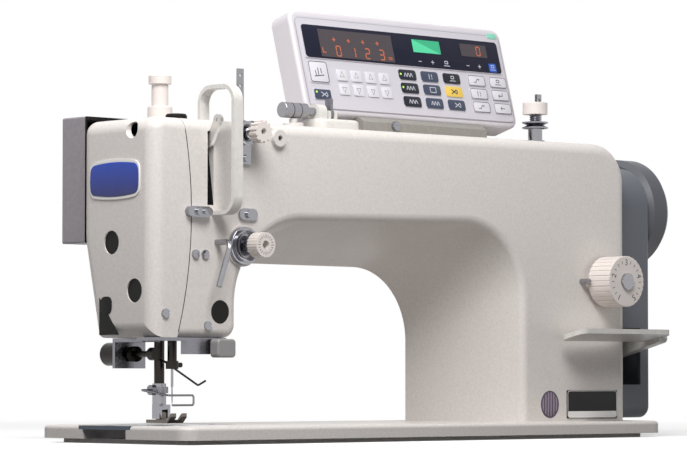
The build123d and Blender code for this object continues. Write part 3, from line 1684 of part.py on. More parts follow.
with BuildPart() as foot_sole:
    toe_bend = -sole_toe + toe_rise
    with BuildSketch(Plane.YZ):
        with BuildLine():
            Polyline(
                (sole_heel, foot_gap),
                (toe_bend, foot_gap),
                (-sole_toe, foot_gap + toe_rise),
                (-sole_toe, foot_top + toe_rise),
                (toe_bend, foot_top),
                (sole_heel, foot_top),
                close=True,
            )
        make_face()
    extrude(amount=sole_half, both=True)
    block((-toe_slot, -sole_toe - overrun, 0), (toe_slot, toe_slot_back, foot_top + 2 * toe_rise),
          mode=Mode.SUBTRACT)
    fillet(foot_sole.edges().filter_by(Axis.Z), edge_break)
    with BuildSketch(Plane.YZ):
        with Locations((foot_pin_back, foot_pin_height)):
            Circle(foot_lug_round)
        with Locations((foot_pin_back, (foot_top + foot_pin_height) / 2)):
            Rectangle(2 * foot_lug_round, foot_pin_height - foot_top)
    extrude(amount=foot_lug_half, both=True)
    bore(sideways(0, foot_pin_back, foot_pin_height), -foot_lug_half, foot_lug_half,
         foot_pin_radius + fit_gap)
finish(foot_sole, "foot_sole")

with BuildPart() as finger_guard:
    band_high = band_low + band_rise
    turn(presser_line, [(band_low, band_high, shank_radius + band_wall)])
    guard_start = (band_low + band_high) / 2
    band_side = shank_radius + band_wall / 2
    head_end = band_side + guard_screw_rise
    turn(sideways(0, presser_back, guard_start), [(-head_end, -band_side, guard_screw)])
    with BuildLine() as loop:
        FilletPolyline(
            (-band_side, presser_back, guard_start),
            (-guard_loop_out, presser_back, guard_start),
            (-guard_loop_left, -guard_loop_front, guard_loop_high),
            (guard_loop_right, -guard_loop_front, guard_loop_high),
            (guard_loop_right, -guard_loop_front, guard_loop_low),
            (-guard_loop_end, -guard_loop_front, guard_loop_low),
            radius=2 * guard_wire,
        )
    with BuildSketch(Plane(origin=(-band_side, presser_back, guard_start), z_dir=(-1, 0, 0))):
        Circle(guard_wire)
    sweep(path=loop.line)
    bore(presser_line, band_low, band_high, shank_radius)
finish(finger_guard, "finger_guard")

# Presser regulating screw over its lock ring
presser_screw_line = upward(0, presser_back, arm_top)
with BuildPart() as presser_screw:
    turn(presser_screw_line, [
        (-presser_stem, seat_gap, presser_stem_radius),
        (seat_gap, presser_screw_rise - presser_disc, presser_neck_radius),
        (presser_screw_rise - presser_disc, presser_screw_rise, presser_disc_radius),
    ])
    fillet(presser_screw.edges().group_by(Axis.Z)[-1], edge_break)
finish(presser_screw, "presser_screw")

with BuildPart() as presser_lock_ring:
    turn(presser_screw_line, [(0, presser_collar, presser_collar_radius)])
    fillet(presser_lock_ring.edges().group_by(Axis.Z)[-1], edge_break)
    bore(presser_screw_line, 0, presser_collar, presser_neck_radius + fit_gap)
finish(presser_lock_ring, "presser_lock_ring")

# Hand lifter at the head's back
lifter_face = forward(lifter_left, lifter_height, -head_back - open_gap)
with BuildPart() as hand_lifter:
    turn(lifter_face, [(0, head_wall + lifter_hub, lifter_shaft)])
    with BuildSketch(lifter_face):
        Circle(lifter_hub)
        with Locations((-lifter_lean, -lifter_arm)):
            Circle(lifter_width / 2)
        make_hull()
    extrude(amount=-lifter_thick)
    with BuildSketch(lifter_face.offset(-lifter_thick)):
        with Locations((-lifter_lean, -lifter_arm)):
            Circle(lifter_width / 2)
    extrude(amount=-lifter_pad)
finish(hand_lifter, "hand_lifter")

# Thread wiper: bracket, solenoid and swinging wire
wiper_line = forward(-wiper_place, wiper_height)
with BuildPart() as wiper_bracket:
    bracket_left_side = -wiper_place - wiper_plate_width / 2
    bracket_right_side = -wiper_place + wiper_plate_width / 2
    block(
        (bracket_left_side, wiper_solenoid_front - wiper_plate_thick, wiper_plate_low),
        (bracket_right_side, wiper_solenoid_front, head_bottom),
    )
    block(
        (bracket_left_side, wiper_wire_back - wiper_clamp_radius, head_bottom - wiper_plate_thick),
        (-presser_radius - 2 * bush_wall, wiper_solenoid_front, head_bottom),
    )
    bore(wiper_line, -wiper_solenoid_front, wiper_plate_thick - wiper_solenoid_front,
         wiper_shaft_radius + fit_gap)
finish(wiper_bracket, "wiper_bracket")

with BuildPart() as wiper_solenoid:
    turn(wiper_line, [
        (-wiper_solenoid_front - wiper_solenoid_length, -wiper_solenoid_front, wiper_solenoid_radius),
    ])
    fillet(wiper_solenoid.edges().group_by(Axis.Y)[-1], edge_break)
    bore(wiper_line, -wiper_solenoid_front - wiper_plate_thick, -wiper_solenoid_front,
         wiper_shaft_radius + fit_gap)
finish(wiper_solenoid, "wiper_solenoid")

with BuildPart() as wiper_arm:
    clamp_back = wiper_wire_back + wiper_clamp_length / 2
    boot_back = wiper_solenoid_front - 2 * wiper_plate_thick
    turn(wiper_line, [
        (seat_gap - wiper_solenoid_front - wiper_plate_thick, -wiper_wire_back, wiper_shaft_radius),
        (-boot_back, wiper_boot_length - boot_back, wiper_boot_radius),
        (-clamp_back, wiper_clamp_length - clamp_back, wiper_clamp_radius),
    ])
    with BuildLine() as route:
        FilletPolyline(
            (-wiper_place, wiper_wire_back, wiper_height),
            (wiper_wire_reach, wiper_wire_back, wiper_wire_low),
            (wiper_wire_reach + wiper_hook_reach, wiper_wire_back, wiper_wire_low + wiper_hook_rise),
            radius=wiper_wire_bend,
        )
    wire_slope = (wiper_wire_reach + wiper_place, 0, wiper_wire_low - wiper_height)
    with BuildSketch(Plane(origin=(-wiper_place, wiper_wire_back, wiper_height), z_dir=wire_slope)):
        Circle(wiper_wire_radius)
    sweep(path=route.line)
finish(wiper_arm, "wiper_arm")

# Hand switch under the head: bracket strip with the switch body, and a sprung button
with BuildPart() as switch_bracket:
    strip_left = switch_place - strip_length
    block(
        (strip_left, -head_front, head_bottom - strip_thick),
        (switch_place + switch_radius, strip_width - head_front, head_bottom),
    )
    block(
        (switch_place - switch_arm_length, -head_front, switch_height - switch_arm_height / 2),
        (switch_place + switch_radius, switch_arm_thick - head_front, head_bottom - strip_thick),
    )
    bore(forward(switch_place, switch_height), head_front - switch_arm_thick, head_front,
         switch_neck + fit_gap)
finish(switch_bracket, "switch_bracket")

with BuildPart() as switch_button:
    switch_line = forward(switch_place, switch_height, head_front)
    button_back = switch_travel + open_gap
    with BuildSketch(switch_line.offset(button_back)):
        RectangleRounded(2 * switch_radius, switch_length, switch_radius / 3)
    extrude(amount=switch_cap)
    fillet(switch_button.faces().sort_by(Axis.Y)[0].edges(), switch_wall)
    turn(switch_line, [(open_gap + switch_travel - switch_arm_thick, button_back, switch_neck)])
finish(switch_button, "switch_button")

# Stitch dial with a fluted grip, a slotted screw and a stop pin beside it
dial_face = forward(dial_place, dial_height, front_at(dial_place) + dial_boss_rise)
with BuildPart() as stitch_dial:
    fluted(dial_face, seat_gap, dial_length, dial_radius, dial_flutes, dial_flute_depth)
    fillet(stitch_dial.faces().sort_by(Axis.Y)[0].edges(), dial_flute_depth / 2)
    turn(dial_face, [(-dial_skirt, seat_gap, dial_hub)])
finish(stitch_dial, "stitch_dial")

with BuildPart() as dial_cap:
    slotted_screw(dial_face, dial_length, dial_cap_radius, dial_cap_rise)
finish(dial_cap, "dial_cap")

# Reverse lever: a sloping paddle on a shank that turns on a pin in the column
with BuildPart() as reverse_lever:
    with BuildSketch(Plane.YZ.offset(paddle_left)):
        with BuildLine():
            Polyline(
                (-paddle_front, paddle_height),
                (-paddle_front, paddle_height + paddle_thick),
                (-paddle_back, paddle_height + paddle_thick - paddle_slope),
                (-paddle_back, paddle_height - paddle_slope),
                close=True,
            )
        make_face()
    extrude(amount=paddle_right - paddle_left)
    fillet(reverse_lever.edges().filter_by(Axis.Z), paddle_corner)
    with BuildSketch(Plane.YZ.offset(lever_shank_left)):
        with Locations((-lever_pivot_front, lever_pivot_height)):
            Circle(lever_hub)
        with Locations((-paddle_back - lever_hub, paddle_height - paddle_slope / 2)):
            Circle(paddle_thick)
        make_hull()
        with Locations((-lever_pivot_front, lever_pivot_height)):
            Circle(lever_pin + fit_gap, mode=Mode.SUBTRACT)
    extrude(amount=lever_shank_thick)
finish(reverse_lever, "reverse_lever")

# Fixed pins: for the rocking frame, the take-up lever, the reverse lever and the dial's stop
with BuildPart() as fixed_pins:
    for height, left, radius in (
        (frame_pin_height, frame_left - seat_gap, frame_pin_radius),
        (take_up_pivot, take_up_hub_left, take_up_stud),
    ):
        turn(sideways(0, 0, height), [(left, head_partition + overrun, radius)])
    turn(sideways(0, -lever_pivot_front, lever_pivot_height), [
        (arm_right - lever_pin_sink, lever_shank_left + lever_shank_thick + overrun, lever_pin),
    ])
    turn(forward(stop_place, dial_height, front_at(stop_place)), [(-pin_sink, pin_length, pin_radius)])
finish(fixed_pins, "fixed_pins")

# Plain nameplate on the column's front
with BuildPart() as nameplate:
    with BuildSketch(front_face):
        with Locations((along_face(nameplate_left) + nameplate_length / 2,
                        nameplate_low + nameplate_height / 2)):
            Rectangle(nameplate_length, nameplate_height)
    extrude(amount=nameplate_thick)
finish(nameplate, "nameplate")
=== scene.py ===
"""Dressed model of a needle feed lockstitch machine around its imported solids."""

import logging
import math
from dataclasses import dataclass, field
from enum import Enum

import bmesh
import bpy
from mathutils import Matrix, Vector
from mathutils.bvhtree import BVHTree


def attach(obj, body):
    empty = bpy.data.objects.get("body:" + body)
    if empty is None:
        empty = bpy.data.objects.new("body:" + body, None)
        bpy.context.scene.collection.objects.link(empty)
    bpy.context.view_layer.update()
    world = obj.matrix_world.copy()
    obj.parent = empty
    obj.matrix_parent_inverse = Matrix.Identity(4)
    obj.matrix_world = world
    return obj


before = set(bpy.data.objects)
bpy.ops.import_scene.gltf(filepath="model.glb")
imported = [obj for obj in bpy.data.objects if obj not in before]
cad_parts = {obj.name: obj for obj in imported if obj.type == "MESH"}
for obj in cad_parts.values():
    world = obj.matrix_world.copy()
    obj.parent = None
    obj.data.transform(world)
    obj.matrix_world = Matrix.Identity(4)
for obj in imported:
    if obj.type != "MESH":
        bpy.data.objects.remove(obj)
log = logging.getLogger("machine")

MM = 0.001
ROOT = "frame"
Tree = bpy.types.NodeTree
Node = bpy.types.Node
Socket = bpy.types.NodeSocket
Face = bmesh.types.BMFace
Pair = tuple[float, float]
Triple = tuple[float, float, float]
RIGHT: Triple = (1, 0, 0)
FORWARD: Triple = (0, -1, 0)
UP: Triple = (0, 0, 1)


def linear(code: str) -> tuple[float, float, float, float]:
    """Turn an sRGB hex colour into linear light.

    Args:
        code: Six hex digits.

    Returns:
        Red, green, blue and full opacity.
    """
    knee, slope, offset, power = 0.04045, 12.92, 0.055, 2.4
    parts = [int(code[i:i + 2], 16) / 255 for i in (0, 2, 4)]
    light = [p / slope if p <= knee else ((p + offset) / (1 + offset)) ** power for p in parts]
    return light[0], light[1], light[2], 1.0


def feed(tree: Tree, socket: Socket, value: float | tuple | Socket) -> None:
    """Set an input to a constant, or link it.

    Args:
        tree: Node tree of the input.
        socket: The input.
        value: The constant, or the output to link from.
    """
    if isinstance(value, Socket):
        tree.links.new(value, socket)
    else:
        socket.default_value = value


def add(tree: Tree, kind: str, sockets: dict | None = None, **settings) -> Node:
    """Add one node with its settings and its links.

    Args:
        tree: Node tree that gets the node.
        kind: Blender's name for the node type.
        sockets: Input names with a value or an output socket to link from.
        settings: Properties of the node.

    Returns:
        The new node.
    """
    node = tree.nodes.new(kind)
    for name, value in settings.items():
        setattr(node, name, value)
    for name, value in (sockets or {}).items():
        feed(tree, node.inputs[name], value)
    return node


def per_mm(size: float) -> float:
    """Give the texture scale whose cells have a size in millimetres.

    Args:
        size: The cell's size.

    Returns:
        The scale for object coordinates in metres.
    """
    return 1 / (size * MM)


@dataclass
class Canvas:
    """A material in the making: its tree, its shader and the object's own coordinates."""

    tree: Tree
    shader: Node
    place: Socket

    def give(self, name: str, value: float | tuple | Socket) -> None:
        """Set or link one input of the shader.

        Args:
            name: The input's name.
            value: A constant, or the output to link from.
        """
        feed(self.tree, self.shader.inputs[name], value)

    def noise(self, size: float, detail: float = 2.0, **sockets: float | Socket) -> Socket:
        """Add a noise pattern.

        Args:
            size: Size of a cell in millimetres.
            detail: How many finer layers lie on it.
            sockets: Other inputs of the pattern.

        Returns:
            The pattern's value.
        """
        inputs = {"Vector": self.place, "Scale": per_mm(size), "Detail": detail, **sockets}
        return add(self.tree, "ShaderNodeTexNoise", inputs).outputs[0]

    def ramp(self, value: Socket, start: float, stop: float, low: float = 0.0, high: float = 1.0) -> Socket:
        """Spread a part of a value's range over another range.

        Args:
            value: The value.
            start: Where the part begins.
            stop: Where it ends.
            low: Result at the start.
            high: Result at the end.

        Returns:
            The new value.
        """
        return add(self.tree, "ShaderNodeMapRange", {
            "Value": value, "From Min": start, "From Max": stop, "To Min": low, "To Max": high,
        }).outputs[0]

    def bump(self, height: Socket, strength: float, depth: float) -> None:
        """Tilt the surface by a pattern.

        Args:
            height: The pattern.
            strength: Share of the tilt that is used.
            depth: Height of the pattern in millimetres.
        """
        tilt = add(self.tree, "ShaderNodeBump", {
            "Height": height, "Strength": strength, "Distance": depth * MM,
        })
        self.give("Normal", tilt.outputs[0])

    def blend(self, share: Socket, first: str, second: str) -> None:
        """Colour the surface between two hues.

        Args:
            share: Share of the second hue.
            first: Hex colour at none.
            second: Hex colour at one.
        """
        hue = add(self.tree, "ShaderNodeMix", {
            0: share, 6: linear(first), 7: linear(second),
        }, data_type="RGBA")
        self.give("Base Color", hue.outputs[2])


@dataclass(frozen=True)
class Finish:
    """A surface finish that makes its own material once."""

    name: str
    colour: str
    roughness: float
    cloud: float = 12.0
    spread: float = 0.04

    def material(self) -> bpy.types.Material:
        """Make the finish's material on first use.

        Returns:
            The material.
        """
        made = bpy.data.materials.get(self.name)
        if made is None:
            made = bpy.data.materials.new(self.name)
            made.use_nodes = True
            tree = made.node_tree
            tree.nodes.clear()
            shader = add(tree, "ShaderNodeBsdfPrincipled", {
                "Base Color": linear(self.colour), "Roughness": self.roughness,
            })
            add(tree, "ShaderNodeOutputMaterial", {"Surface": shader.outputs[0]})
            self.dress(Canvas(tree, shader, add(tree, "ShaderNodeTexCoord").outputs["Object"]))
        return made

    def dress(self, canvas: Canvas) -> None:
        """Let the gloss wander in soft clouds; each kind of finish adds its own pattern.

        Args:
            canvas: The material in the making.
        """
        glossiest, core, edge = 0.02, 0.3, 0.7
        low = max(glossiest, self.roughness - self.spread)
        canvas.give("Roughness", canvas.ramp(
            canvas.noise(self.cloud, 3.0), core, edge, low, self.roughness + self.spread,
        ))


@dataclass(frozen=True, kw_only=True)
class GrainPaint(Finish):
    """Baked wrinkle paint on cast metal: low pebbles that catch the light, darker valleys."""

    cloud: float = 30.0
    spread: float = 0.06
    grain: float = 2.2
    fine: float = 0.55
    depth: float
    valley: str

    def dress(self, canvas: Canvas) -> None:
        """Raise pebbles of the grain's size and darken the paint between them.

        Args:
            canvas: The material in the making.
        """
        deep, full = 0.36, 0.62
        coarse = canvas.noise(self.grain)
        pebbles = canvas.noise(self.grain * self.fine, 1.5, Distortion=0.6)
        height = add(canvas.tree, "ShaderNodeMix", {2: coarse, 3: pebbles, 0: 0.5}).outputs[0]
        canvas.bump(height, 0.5, self.depth)
        canvas.blend(canvas.ramp(height, deep, full), self.valley, self.colour)
        super().dress(canvas)


@dataclass(frozen=True, kw_only=True)
class Moulded(Finish):
    """Moulded ABS with a fine spark-eroded grit that softens its gloss."""

    cloud: float = 24.0
    spread: float = 0.05
    grit: float = 0.7
    depth: float = 0.03
    coat: float = 0.0
    shine: float = 0.5

    def dress(self, canvas: Canvas) -> None:
        """Add the mould's grit; it is drawn coarser than real so that it shows.

        Args:
            canvas: The material in the making.
        """
        canvas.bump(canvas.noise(self.grit), 0.4, self.depth)
        canvas.give("Coat Weight", self.coat)
        canvas.give("Specular IOR Level", self.shine)
        super().dress(canvas)


@dataclass(frozen=True, kw_only=True)
class Print(Moulded):
    """Screen print: a thin coat of ink with a nearly smooth face."""

    grit: float = 1.0
    depth: float = 0.01


@dataclass(frozen=True, kw_only=True)
class KeyPrint(Print):
    """Screen print under the film of a key, with a low sheen."""

    roughness: float = 0.42
    depth: float = 0.015
    shine: float = 0.3


@dataclass(frozen=True, kw_only=True)
class Graded(Finish):
    """Fired enamel whose colour deepens from top to bottom."""

    top: str
    low: float
    high: float
    coat: float

    def dress(self, canvas: Canvas) -> None:
        """Mix the two colours over the height in millimetres, under a clear coat.

        Args:
            canvas: The material in the making.
        """
        split = add(canvas.tree, "ShaderNodeSeparateXYZ", {"Vector": canvas.place})
        share = canvas.ramp(split.outputs["Z"], self.low * MM, self.high * MM)
        canvas.blend(share, self.colour, self.top)
        canvas.give("Coat Weight", self.coat)
        super().dress(canvas)


@dataclass(frozen=True, kw_only=True)
class Plated(Finish):
    """Nickel plated or polished steel, with faint wipe marks in its gloss."""

    cloud: float = 5.0
    spread: float = 0.05

    def dress(self, canvas: Canvas) -> None:
        """Make it metal and let its polish wander.

        Args:
            canvas: The material in the making.
        """
        canvas.give("Metallic", 1.0)
        super().dress(canvas)


@dataclass(frozen=True, kw_only=True)
class Ground(Plated):
    """Surface-ground tool steel, with straight fine lines left by the wheel."""

    cloud: float = 7.0
    spread: float = 0.07
    line: float = 0.5
    depth: float = 0.02
    stretch: Triple = (0.04, 1.0, 1.0)

    def dress(self, canvas: Canvas) -> None:
        """Draw the wheel's lines, a little coarser than real so that they show.

        Args:
            canvas: The material in the making.
        """
        along = add(canvas.tree, "ShaderNodeMapping", {"Vector": canvas.place, "Scale": self.stretch})
        canvas.bump(canvas.noise(self.line, Vector=along.outputs[0]), 0.25, self.depth)
        super().dress(canvas)


@dataclass(frozen=True, kw_only=True)
class Lit(Finish):
    """A printed or lit mark behind a window, which glows a little; on the moulded tab the glow is painted
    light.
    """

    glow: float

    def dress(self, canvas: Canvas) -> None:
        """Set the glow in the mark's own colour.

        Args:
            canvas: The material in the making.
        """
        canvas.give("Emission Color", linear(self.colour))
        canvas.give("Emission Strength", self.glow)
        super().dress(canvas)


@dataclass(frozen=True, kw_only=True)
class Foil(Finish):
    """Metallised seal foil whose tint drifts between two hues in fine bands."""

    second: str = "8C7F8E"
    band: float = 1.6

    def dress(self, canvas: Canvas) -> None:
        """Mix the two hues in upright bands.

        Args:
            canvas: The material in the making.
        """
        canvas.give("Metallic", 0.7)
        bands = add(canvas.tree, "ShaderNodeTexWave", {
            "Vector": canvas.place, "Scale": per_mm(self.band) / 6.0, "Distortion": 1.5,
        })
        canvas.blend(bands.outputs[0], self.colour, self.second)


# Baked wrinkle enamel on iron: warm off-white with low pebbles that break up the highlights
BODY = GrainPaint("baked_wrinkle_enamel", "DFD9D5", 0.42, depth=0.13, valley="D5CFCA")
# Baked smooth enamel on small castings and bent strip: the same white, with a soft even sheen
SMOOTH_PAINT = GrainPaint("baked_smooth_enamel", "DEDBD6", 0.34, grain=6.0, depth=0.03, valley="D6D2CD")
# Sprayed enamel on sheet steel: mid grey with a faint orange peel
SHEET_PAINT = GrainPaint("sprayed_grey_enamel", "9A949A", 0.42, grain=4.0, depth=0.03, valley="918B91")
# Sprayed enamel on bent plate: warm grey, a little duller than the box
BRACKET_PAINT = GrainPaint("sprayed_warm_grey_enamel", "96938C", 0.45, grain=4.0, depth=0.03, valley="8D8A83")
# Sand-cast iron left raw in the hollows, drawn near black as painted shade: grainy and dull, so hollows read
# as dark
RAW_IRON_AND_SHADE = GrainPaint("raw_iron_painted_shade", "100F0E", 0.8, grain=1.8, depth=0.1, valley="0A0909")
# Moulded ABS, lavender white: even, with a low sheen from a clear coat
SHELL = Moulded("moulded_pale_abs", "D3CED3", 0.42, coat=0.05)
# Printed polyester film: flat lavender grey, smoother than the case
FILM = Moulded("printed_polyester_film", "CBC7CE", 0.4, grit=1.2, depth=0.015, shine=0.35)
# Moulded ABS, slate: fine grit that keeps the large cover matt
DARK_ABS = Moulded("moulded_slate_abs", "5B5F67", 0.48)
# Moulded ABS, deep slate: the handwheel, a little glossier where hands polish it
DARKER_ABS = Moulded("moulded_deep_slate_abs", "4B4C54", 0.42)
# Moulded ABS, ivory: pinkish white knobs with a soft shine
IVORY = Moulded("moulded_ivory_abs", "E3DAD5", 0.4, grit=0.9)
# Moulded ABS, mid grey: the hand switch's matt key
GREY_ABS = Moulded("moulded_grey_abs", "8E8C8C", 0.48)
# Moulded rubber: black and dull, with a coarse skin; the same black is painted shade in the seam and on the
# rear box's front
RUBBER_AND_SHADE = Moulded("black_rubber_and_painted_shade", "0F0D0C", 0.62, grit=0.9, depth=0.05, shine=0.2)
# Moulded toothed belt: charcoal, duller than the plugs
BELT = Moulded("moulded_belt_rubber", "1A1A1C", 0.7, grit=0.6, depth=0.05, shine=0.3)
# Bright nickel plate: clear reflections with faint wipe marks
NICKEL = Plated("bright_nickel_plate", "9C9CA1", 0.14)
# Polished steel: a little darker and softer than the plate
STEEL = Plated("polished_steel", "85848A", 0.26)
# Satin chrome on the take-up lever: pale and soft
PALE_STEEL = Plated("satin_chrome", "C9C7C4", 0.36)
# Polished steel gone brownish with use, on the foot's sole
WORN_STEEL = Plated("worn_steel", "7C746F", 0.34)
# Oil-blackened steel: dark bars with a narrow sheen
DARK_STEEL = Plated("oil_blackened_steel", "34312F", 0.3)
# Machined cast iron: grey and dull
IRON = Plated("machined_cast_iron", "6B6A6A", 0.45)
# Ground tool steel: pale, with fine straight lines from the wheel
PLATE_STEEL = Ground("ground_tool_steel", "B6B8BC", 0.26)
# Ground steel on the sliding plate, drawn darker and bluish as a painted reflection
SLIDE_STEEL = Ground("ground_steel_painted_reflection", "474D56", 0.3)
# Turned bearing bronze: dull gold
BRONZE = Plated("turned_bearing_bronze", "B08A52", 0.3)
# Fired enamel: deep blue that lightens to its top, under a thin clear coat
BADGE = Graded("fired_blue_enamel", "101A62", 0.45, top="1240B0", low=173.0, high=197.0, coat=0.1)
# Gloss enamel on the badge's raised edge, whiter than the body paint as a painted highlight: the brightest
# white on the head
BADGE_EDGE_HIGHLIGHT = Moulded("white_enamel_painted_highlight", "EDEAE6", 0.3, grit=2.0, depth=0.01)
# Black anodised aluminium: smooth and near black
PLATE_BLACK = Print("black_anodised_aluminium", "0C0C0D", 0.45, shine=0.25)
# Screen print: flat white ink
PLATE_WHITE = Print("white_screen_print", "E4E2E0", 0.45)
# Embossed seal foil: purple grey that shifts in fine upright bands
SEAL = Foil("embossed_seal_foil", "4E4250", 0.32)
# Print round the seal: a dark violet edge
SEAL_EDGE = Print("violet_screen_print", "40364A", 0.4)
# Smoked acrylic: navy black and calm, with little reflection
WINDOW = Moulded("smoked_acrylic", "1C1D2D", 0.5, grit=3.0, depth=0.006, shine=0.12)
# Display glass behind the acrylic: brown grey
LCD = Moulded("display_glass", "4C464A", 0.45, grit=3.0, depth=0.006, shine=0.15)
# Lit segments: dim orange that glows a little
SEGMENT = Lit("lit_orange_segment", "B4603C", 0.4, glow=0.12)
# Backlit film: bright green
GREEN = Lit("backlit_green_film", "4CC795", 0.35, glow=0.12)
# Backlit film in the wedge's shade: deeper green
GREEN_DEEP = Lit("backlit_deep_green_film", "2EA678", 0.35, glow=0.1)
# Moulded tab: milky mint, with a small glow that is painted light
TAB = Lit("mint_tab_painted_glow", "86CFB6", 0.4, glow=0.04)
# Screen print under the film, for the keys: navy, slate, yellow, blue and white, all with a low sheen
KEY_NAVY = KeyPrint("navy_screen_print", "171924")
KEY_SLATE = KeyPrint("slate_screen_print", "3E4557")
KEY_YELLOW = KeyPrint("yellow_screen_print", "E9C75C")
KEY_BLUE = KeyPrint("blue_screen_print", "2E5FBE")
KEY_WHITE = KeyPrint("white_key_print", "DDDAE0")
# Dark and pale ink for outlines and signs: flat
INK = Print("dark_ink", "333447", 0.5)
INK_PALE = Print("pale_ink", "C9CCD6", 0.5)
# Grey line round the film: painted shade in the groove between film and case
FILM_GROOVE_SHADE = Print("film_groove_painted_shade", "A39EA6", 0.5)
# Lamp lens: yellow green with a small glow
LAMP = Lit("lit_green_lens", "A6E05A", 0.3, glow=0.7)


@dataclass
class Piece:
    """One new piece in the making: a bmesh, in millimetres on a plane of its own."""

    name: str
    finish: Finish
    body: str = ROOT
    slot: str | None = None
    place: Matrix = field(default_factory=Matrix)

    CORNER_STEPS = 4
    CROWN_STEPS = 2
    ARC_STEPS = 24
    BOW_STEPS = 8
    CAPITAL = 0.72
    SHARP = 32.0
    TOUCH = 0.0001
    INK = (-0.05, 0.08)

    def __post_init__(self) -> None:
        """Start with an empty mesh."""
        self.mesh = bmesh.new()

    def plate(self, at: Pair, size: Pair, low: float, high: float,
              corner: float = 0.0, turn: float = 0.0, crown: float = 0.0) -> None:
        """Add a flat plate with rounded corners.

        Args:
            at: Middle of the plate on the plane.
            size: Width and height.
            low: Height of its underside over the plane.
            high: Height of its face.
            corner: Radius of its corners.
            turn: Angle on the plane in degrees.
            crown: Bevel round the face.
        """
        bm = self.mesh
        spot = (
            Matrix.Translation((at[0], at[1], low))
            @ Matrix.Rotation(math.radians(turn), 4, "Z")
            @ Matrix.Diagonal((size[0], size[1], 1, 1))
        )
        older = set(bm.faces)
        made = bmesh.ops.create_grid(bm, x_segments=1, y_segments=1, size=0.5, matrix=spot)["verts"]
        if corner > 0:
            self._round(made, corner, self.CORNER_STEPS, "VERTICES")
        self._raise(self._newest(older), high - low, crown)

    def disc(self, at: Pair, size: Pair, low: float, high: float,
             sides: int = 32, turn: float = 0.0, crown: float = 0.0, line: float = 0.0) -> None:
        """Add a disc, an oval or a regular polygon as a slab, or as an outline.

        Args:
            at: Middle of the disc on the plane.
            size: Its two half widths.
            low: Height of its underside over the plane.
            high: Height of its face.
            sides: Number of corners.
            turn: Angle on the plane in degrees.
            crown: Bevel round the face.
            line: Width of the outline; none makes a full slab.
        """
        spot = (
            Matrix.Translation((at[0], at[1], low))
            @ Matrix.Diagonal((size[0], size[1], 1, 1))
            @ Matrix.Rotation(math.radians(turn), 4, "Z")
        )
        older = set(self.mesh.faces)
        bmesh.ops.create_circle(self.mesh, cap_ends=True, segments=sides, radius=1.0, matrix=spot)
        face = self._newest(older)
        if line > 0:
            self._hollow(face, line, high - low)
        else:
            self._raise(face, high - low, crown)

    def frame(self, at: Pair, size: Pair, low: float, high: float,
              corner: float, line: float, bow: float = 0.0) -> None:
        """Add a rounded outline: a plate whose middle is inset and taken out.

        Args:
            at: Middle of the outline on the plane.
            size: Outer width and height.
            low: Height of its underside over the plane.
            high: Height of its face.
            corner: Outer corner radius.
            line: Width of the line.
            bow: How far the long sides swell at their middle.
        """
        bm = self.mesh
        older = set(bm.faces)
        spot = Matrix.Translation((0, 0, low)) @ Matrix.Diagonal((size[0], size[1], 1, 1))
        steps = self.BOW_STEPS if bow else 1
        made = bmesh.ops.create_grid(bm, x_segments=steps, y_segments=1, size=0.5, matrix=spot)["verts"]
        for v in made:
            v.co.y += math.copysign(bow * (1 - (2 * v.co.x / size[0]) ** 2), v.co.y)
        bmesh.ops.translate(bm, vec=(at[0], at[1], 0), verts=made)
        bmesh.ops.dissolve_faces(bm, faces=[f for f in bm.faces if f not in older], use_verts=False)
        ends = [v for v in made if abs(v.co.x - at[0]) > size[0] / 2 - self.TOUCH]
        self._round(ends, corner, self.CORNER_STEPS, "VERTICES")
        self._hollow(self._newest(older), line, high - low)

    def arc(self, middle: Pair, radius: float, width: float, angles: Pair,
            low: float, high: float) -> None:
        """Add a long curved strip by spinning a short edge.

        Args:
            middle: Middle of the curve on the plane.
            radius: Radius of the strip's middle line.
            width: Width of the strip.
            angles: First and last angle in degrees.
            low: Height of its underside over the plane.
            high: Height of its face.
        """
        bm = self.mesh
        first = math.radians(angles[0])
        ends = [
            bm.verts.new((middle[0] + r * math.cos(first), middle[1] + r * math.sin(first), low))
            for r in (radius - width / 2, radius + width / 2)
        ]
        older = set(bm.faces)
        bmesh.ops.spin(bm, geom=[*ends, bm.edges.new(ends)], axis=UP, cent=(*middle, 0), dvec=(0, 0, 0),
                       angle=math.radians(angles[1]) - first, steps=self.ARC_STEPS, use_merge=False,
                       use_duplicate=False)
        self._pull([f for f in bm.faces if f not in older], high - low)

    def sign(self, strokes: tuple, at: Pair, low: float, high: float, thick: float = 0.6) -> None:
        """Print a sign made of straight strokes.

        Args:
            strokes: The place, length and angle of each stroke.
            at: The sign's middle on the plane.
            low: Height of the underside over the plane.
            high: Height of the face.
            thick: Width of a stroke.
        """
        for x, y, long, turn in strokes:
            self.plate((at[0] + x, at[1] + y), (long, thick), low, high, turn=turn)

    def words(self, text: str, at: Pair, tall: float, low: float, high: float,
              turn: float = 0.0) -> None:
        """Add plain numerals as a raised mesh.

        Args:
            text: The numerals.
            at: Their middle on the plane.
            tall: Height of a numeral.
            low: Height of the underside over the plane.
            high: Height of the face.
            turn: Angle on the plane in degrees.
        """
        curve = bpy.data.curves.new(self.name + "_text", "FONT")
        curve.body = text
        curve.size = tall / self.CAPITAL
        curve.align_x = "CENTER"
        curve.align_y = "CENTER"
        curve.extrude = (high - low) / 2
        curve.resolution_u = 3
        holder = bpy.data.objects.new(self.name + "_text", curve)
        bpy.context.scene.collection.objects.link(holder)
        shape = bpy.data.meshes.new_from_object(holder.evaluated_get(bpy.context.evaluated_depsgraph_get()))
        shape.transform(
            Matrix.Translation((at[0], at[1], (low + high) / 2)) @ Matrix.Rotation(math.radians(turn), 4, "Z")
        )
        self.mesh.from_mesh(shape)
        bpy.data.objects.remove(holder)
        bpy.data.curves.remove(curve)
        bpy.data.meshes.remove(shape)

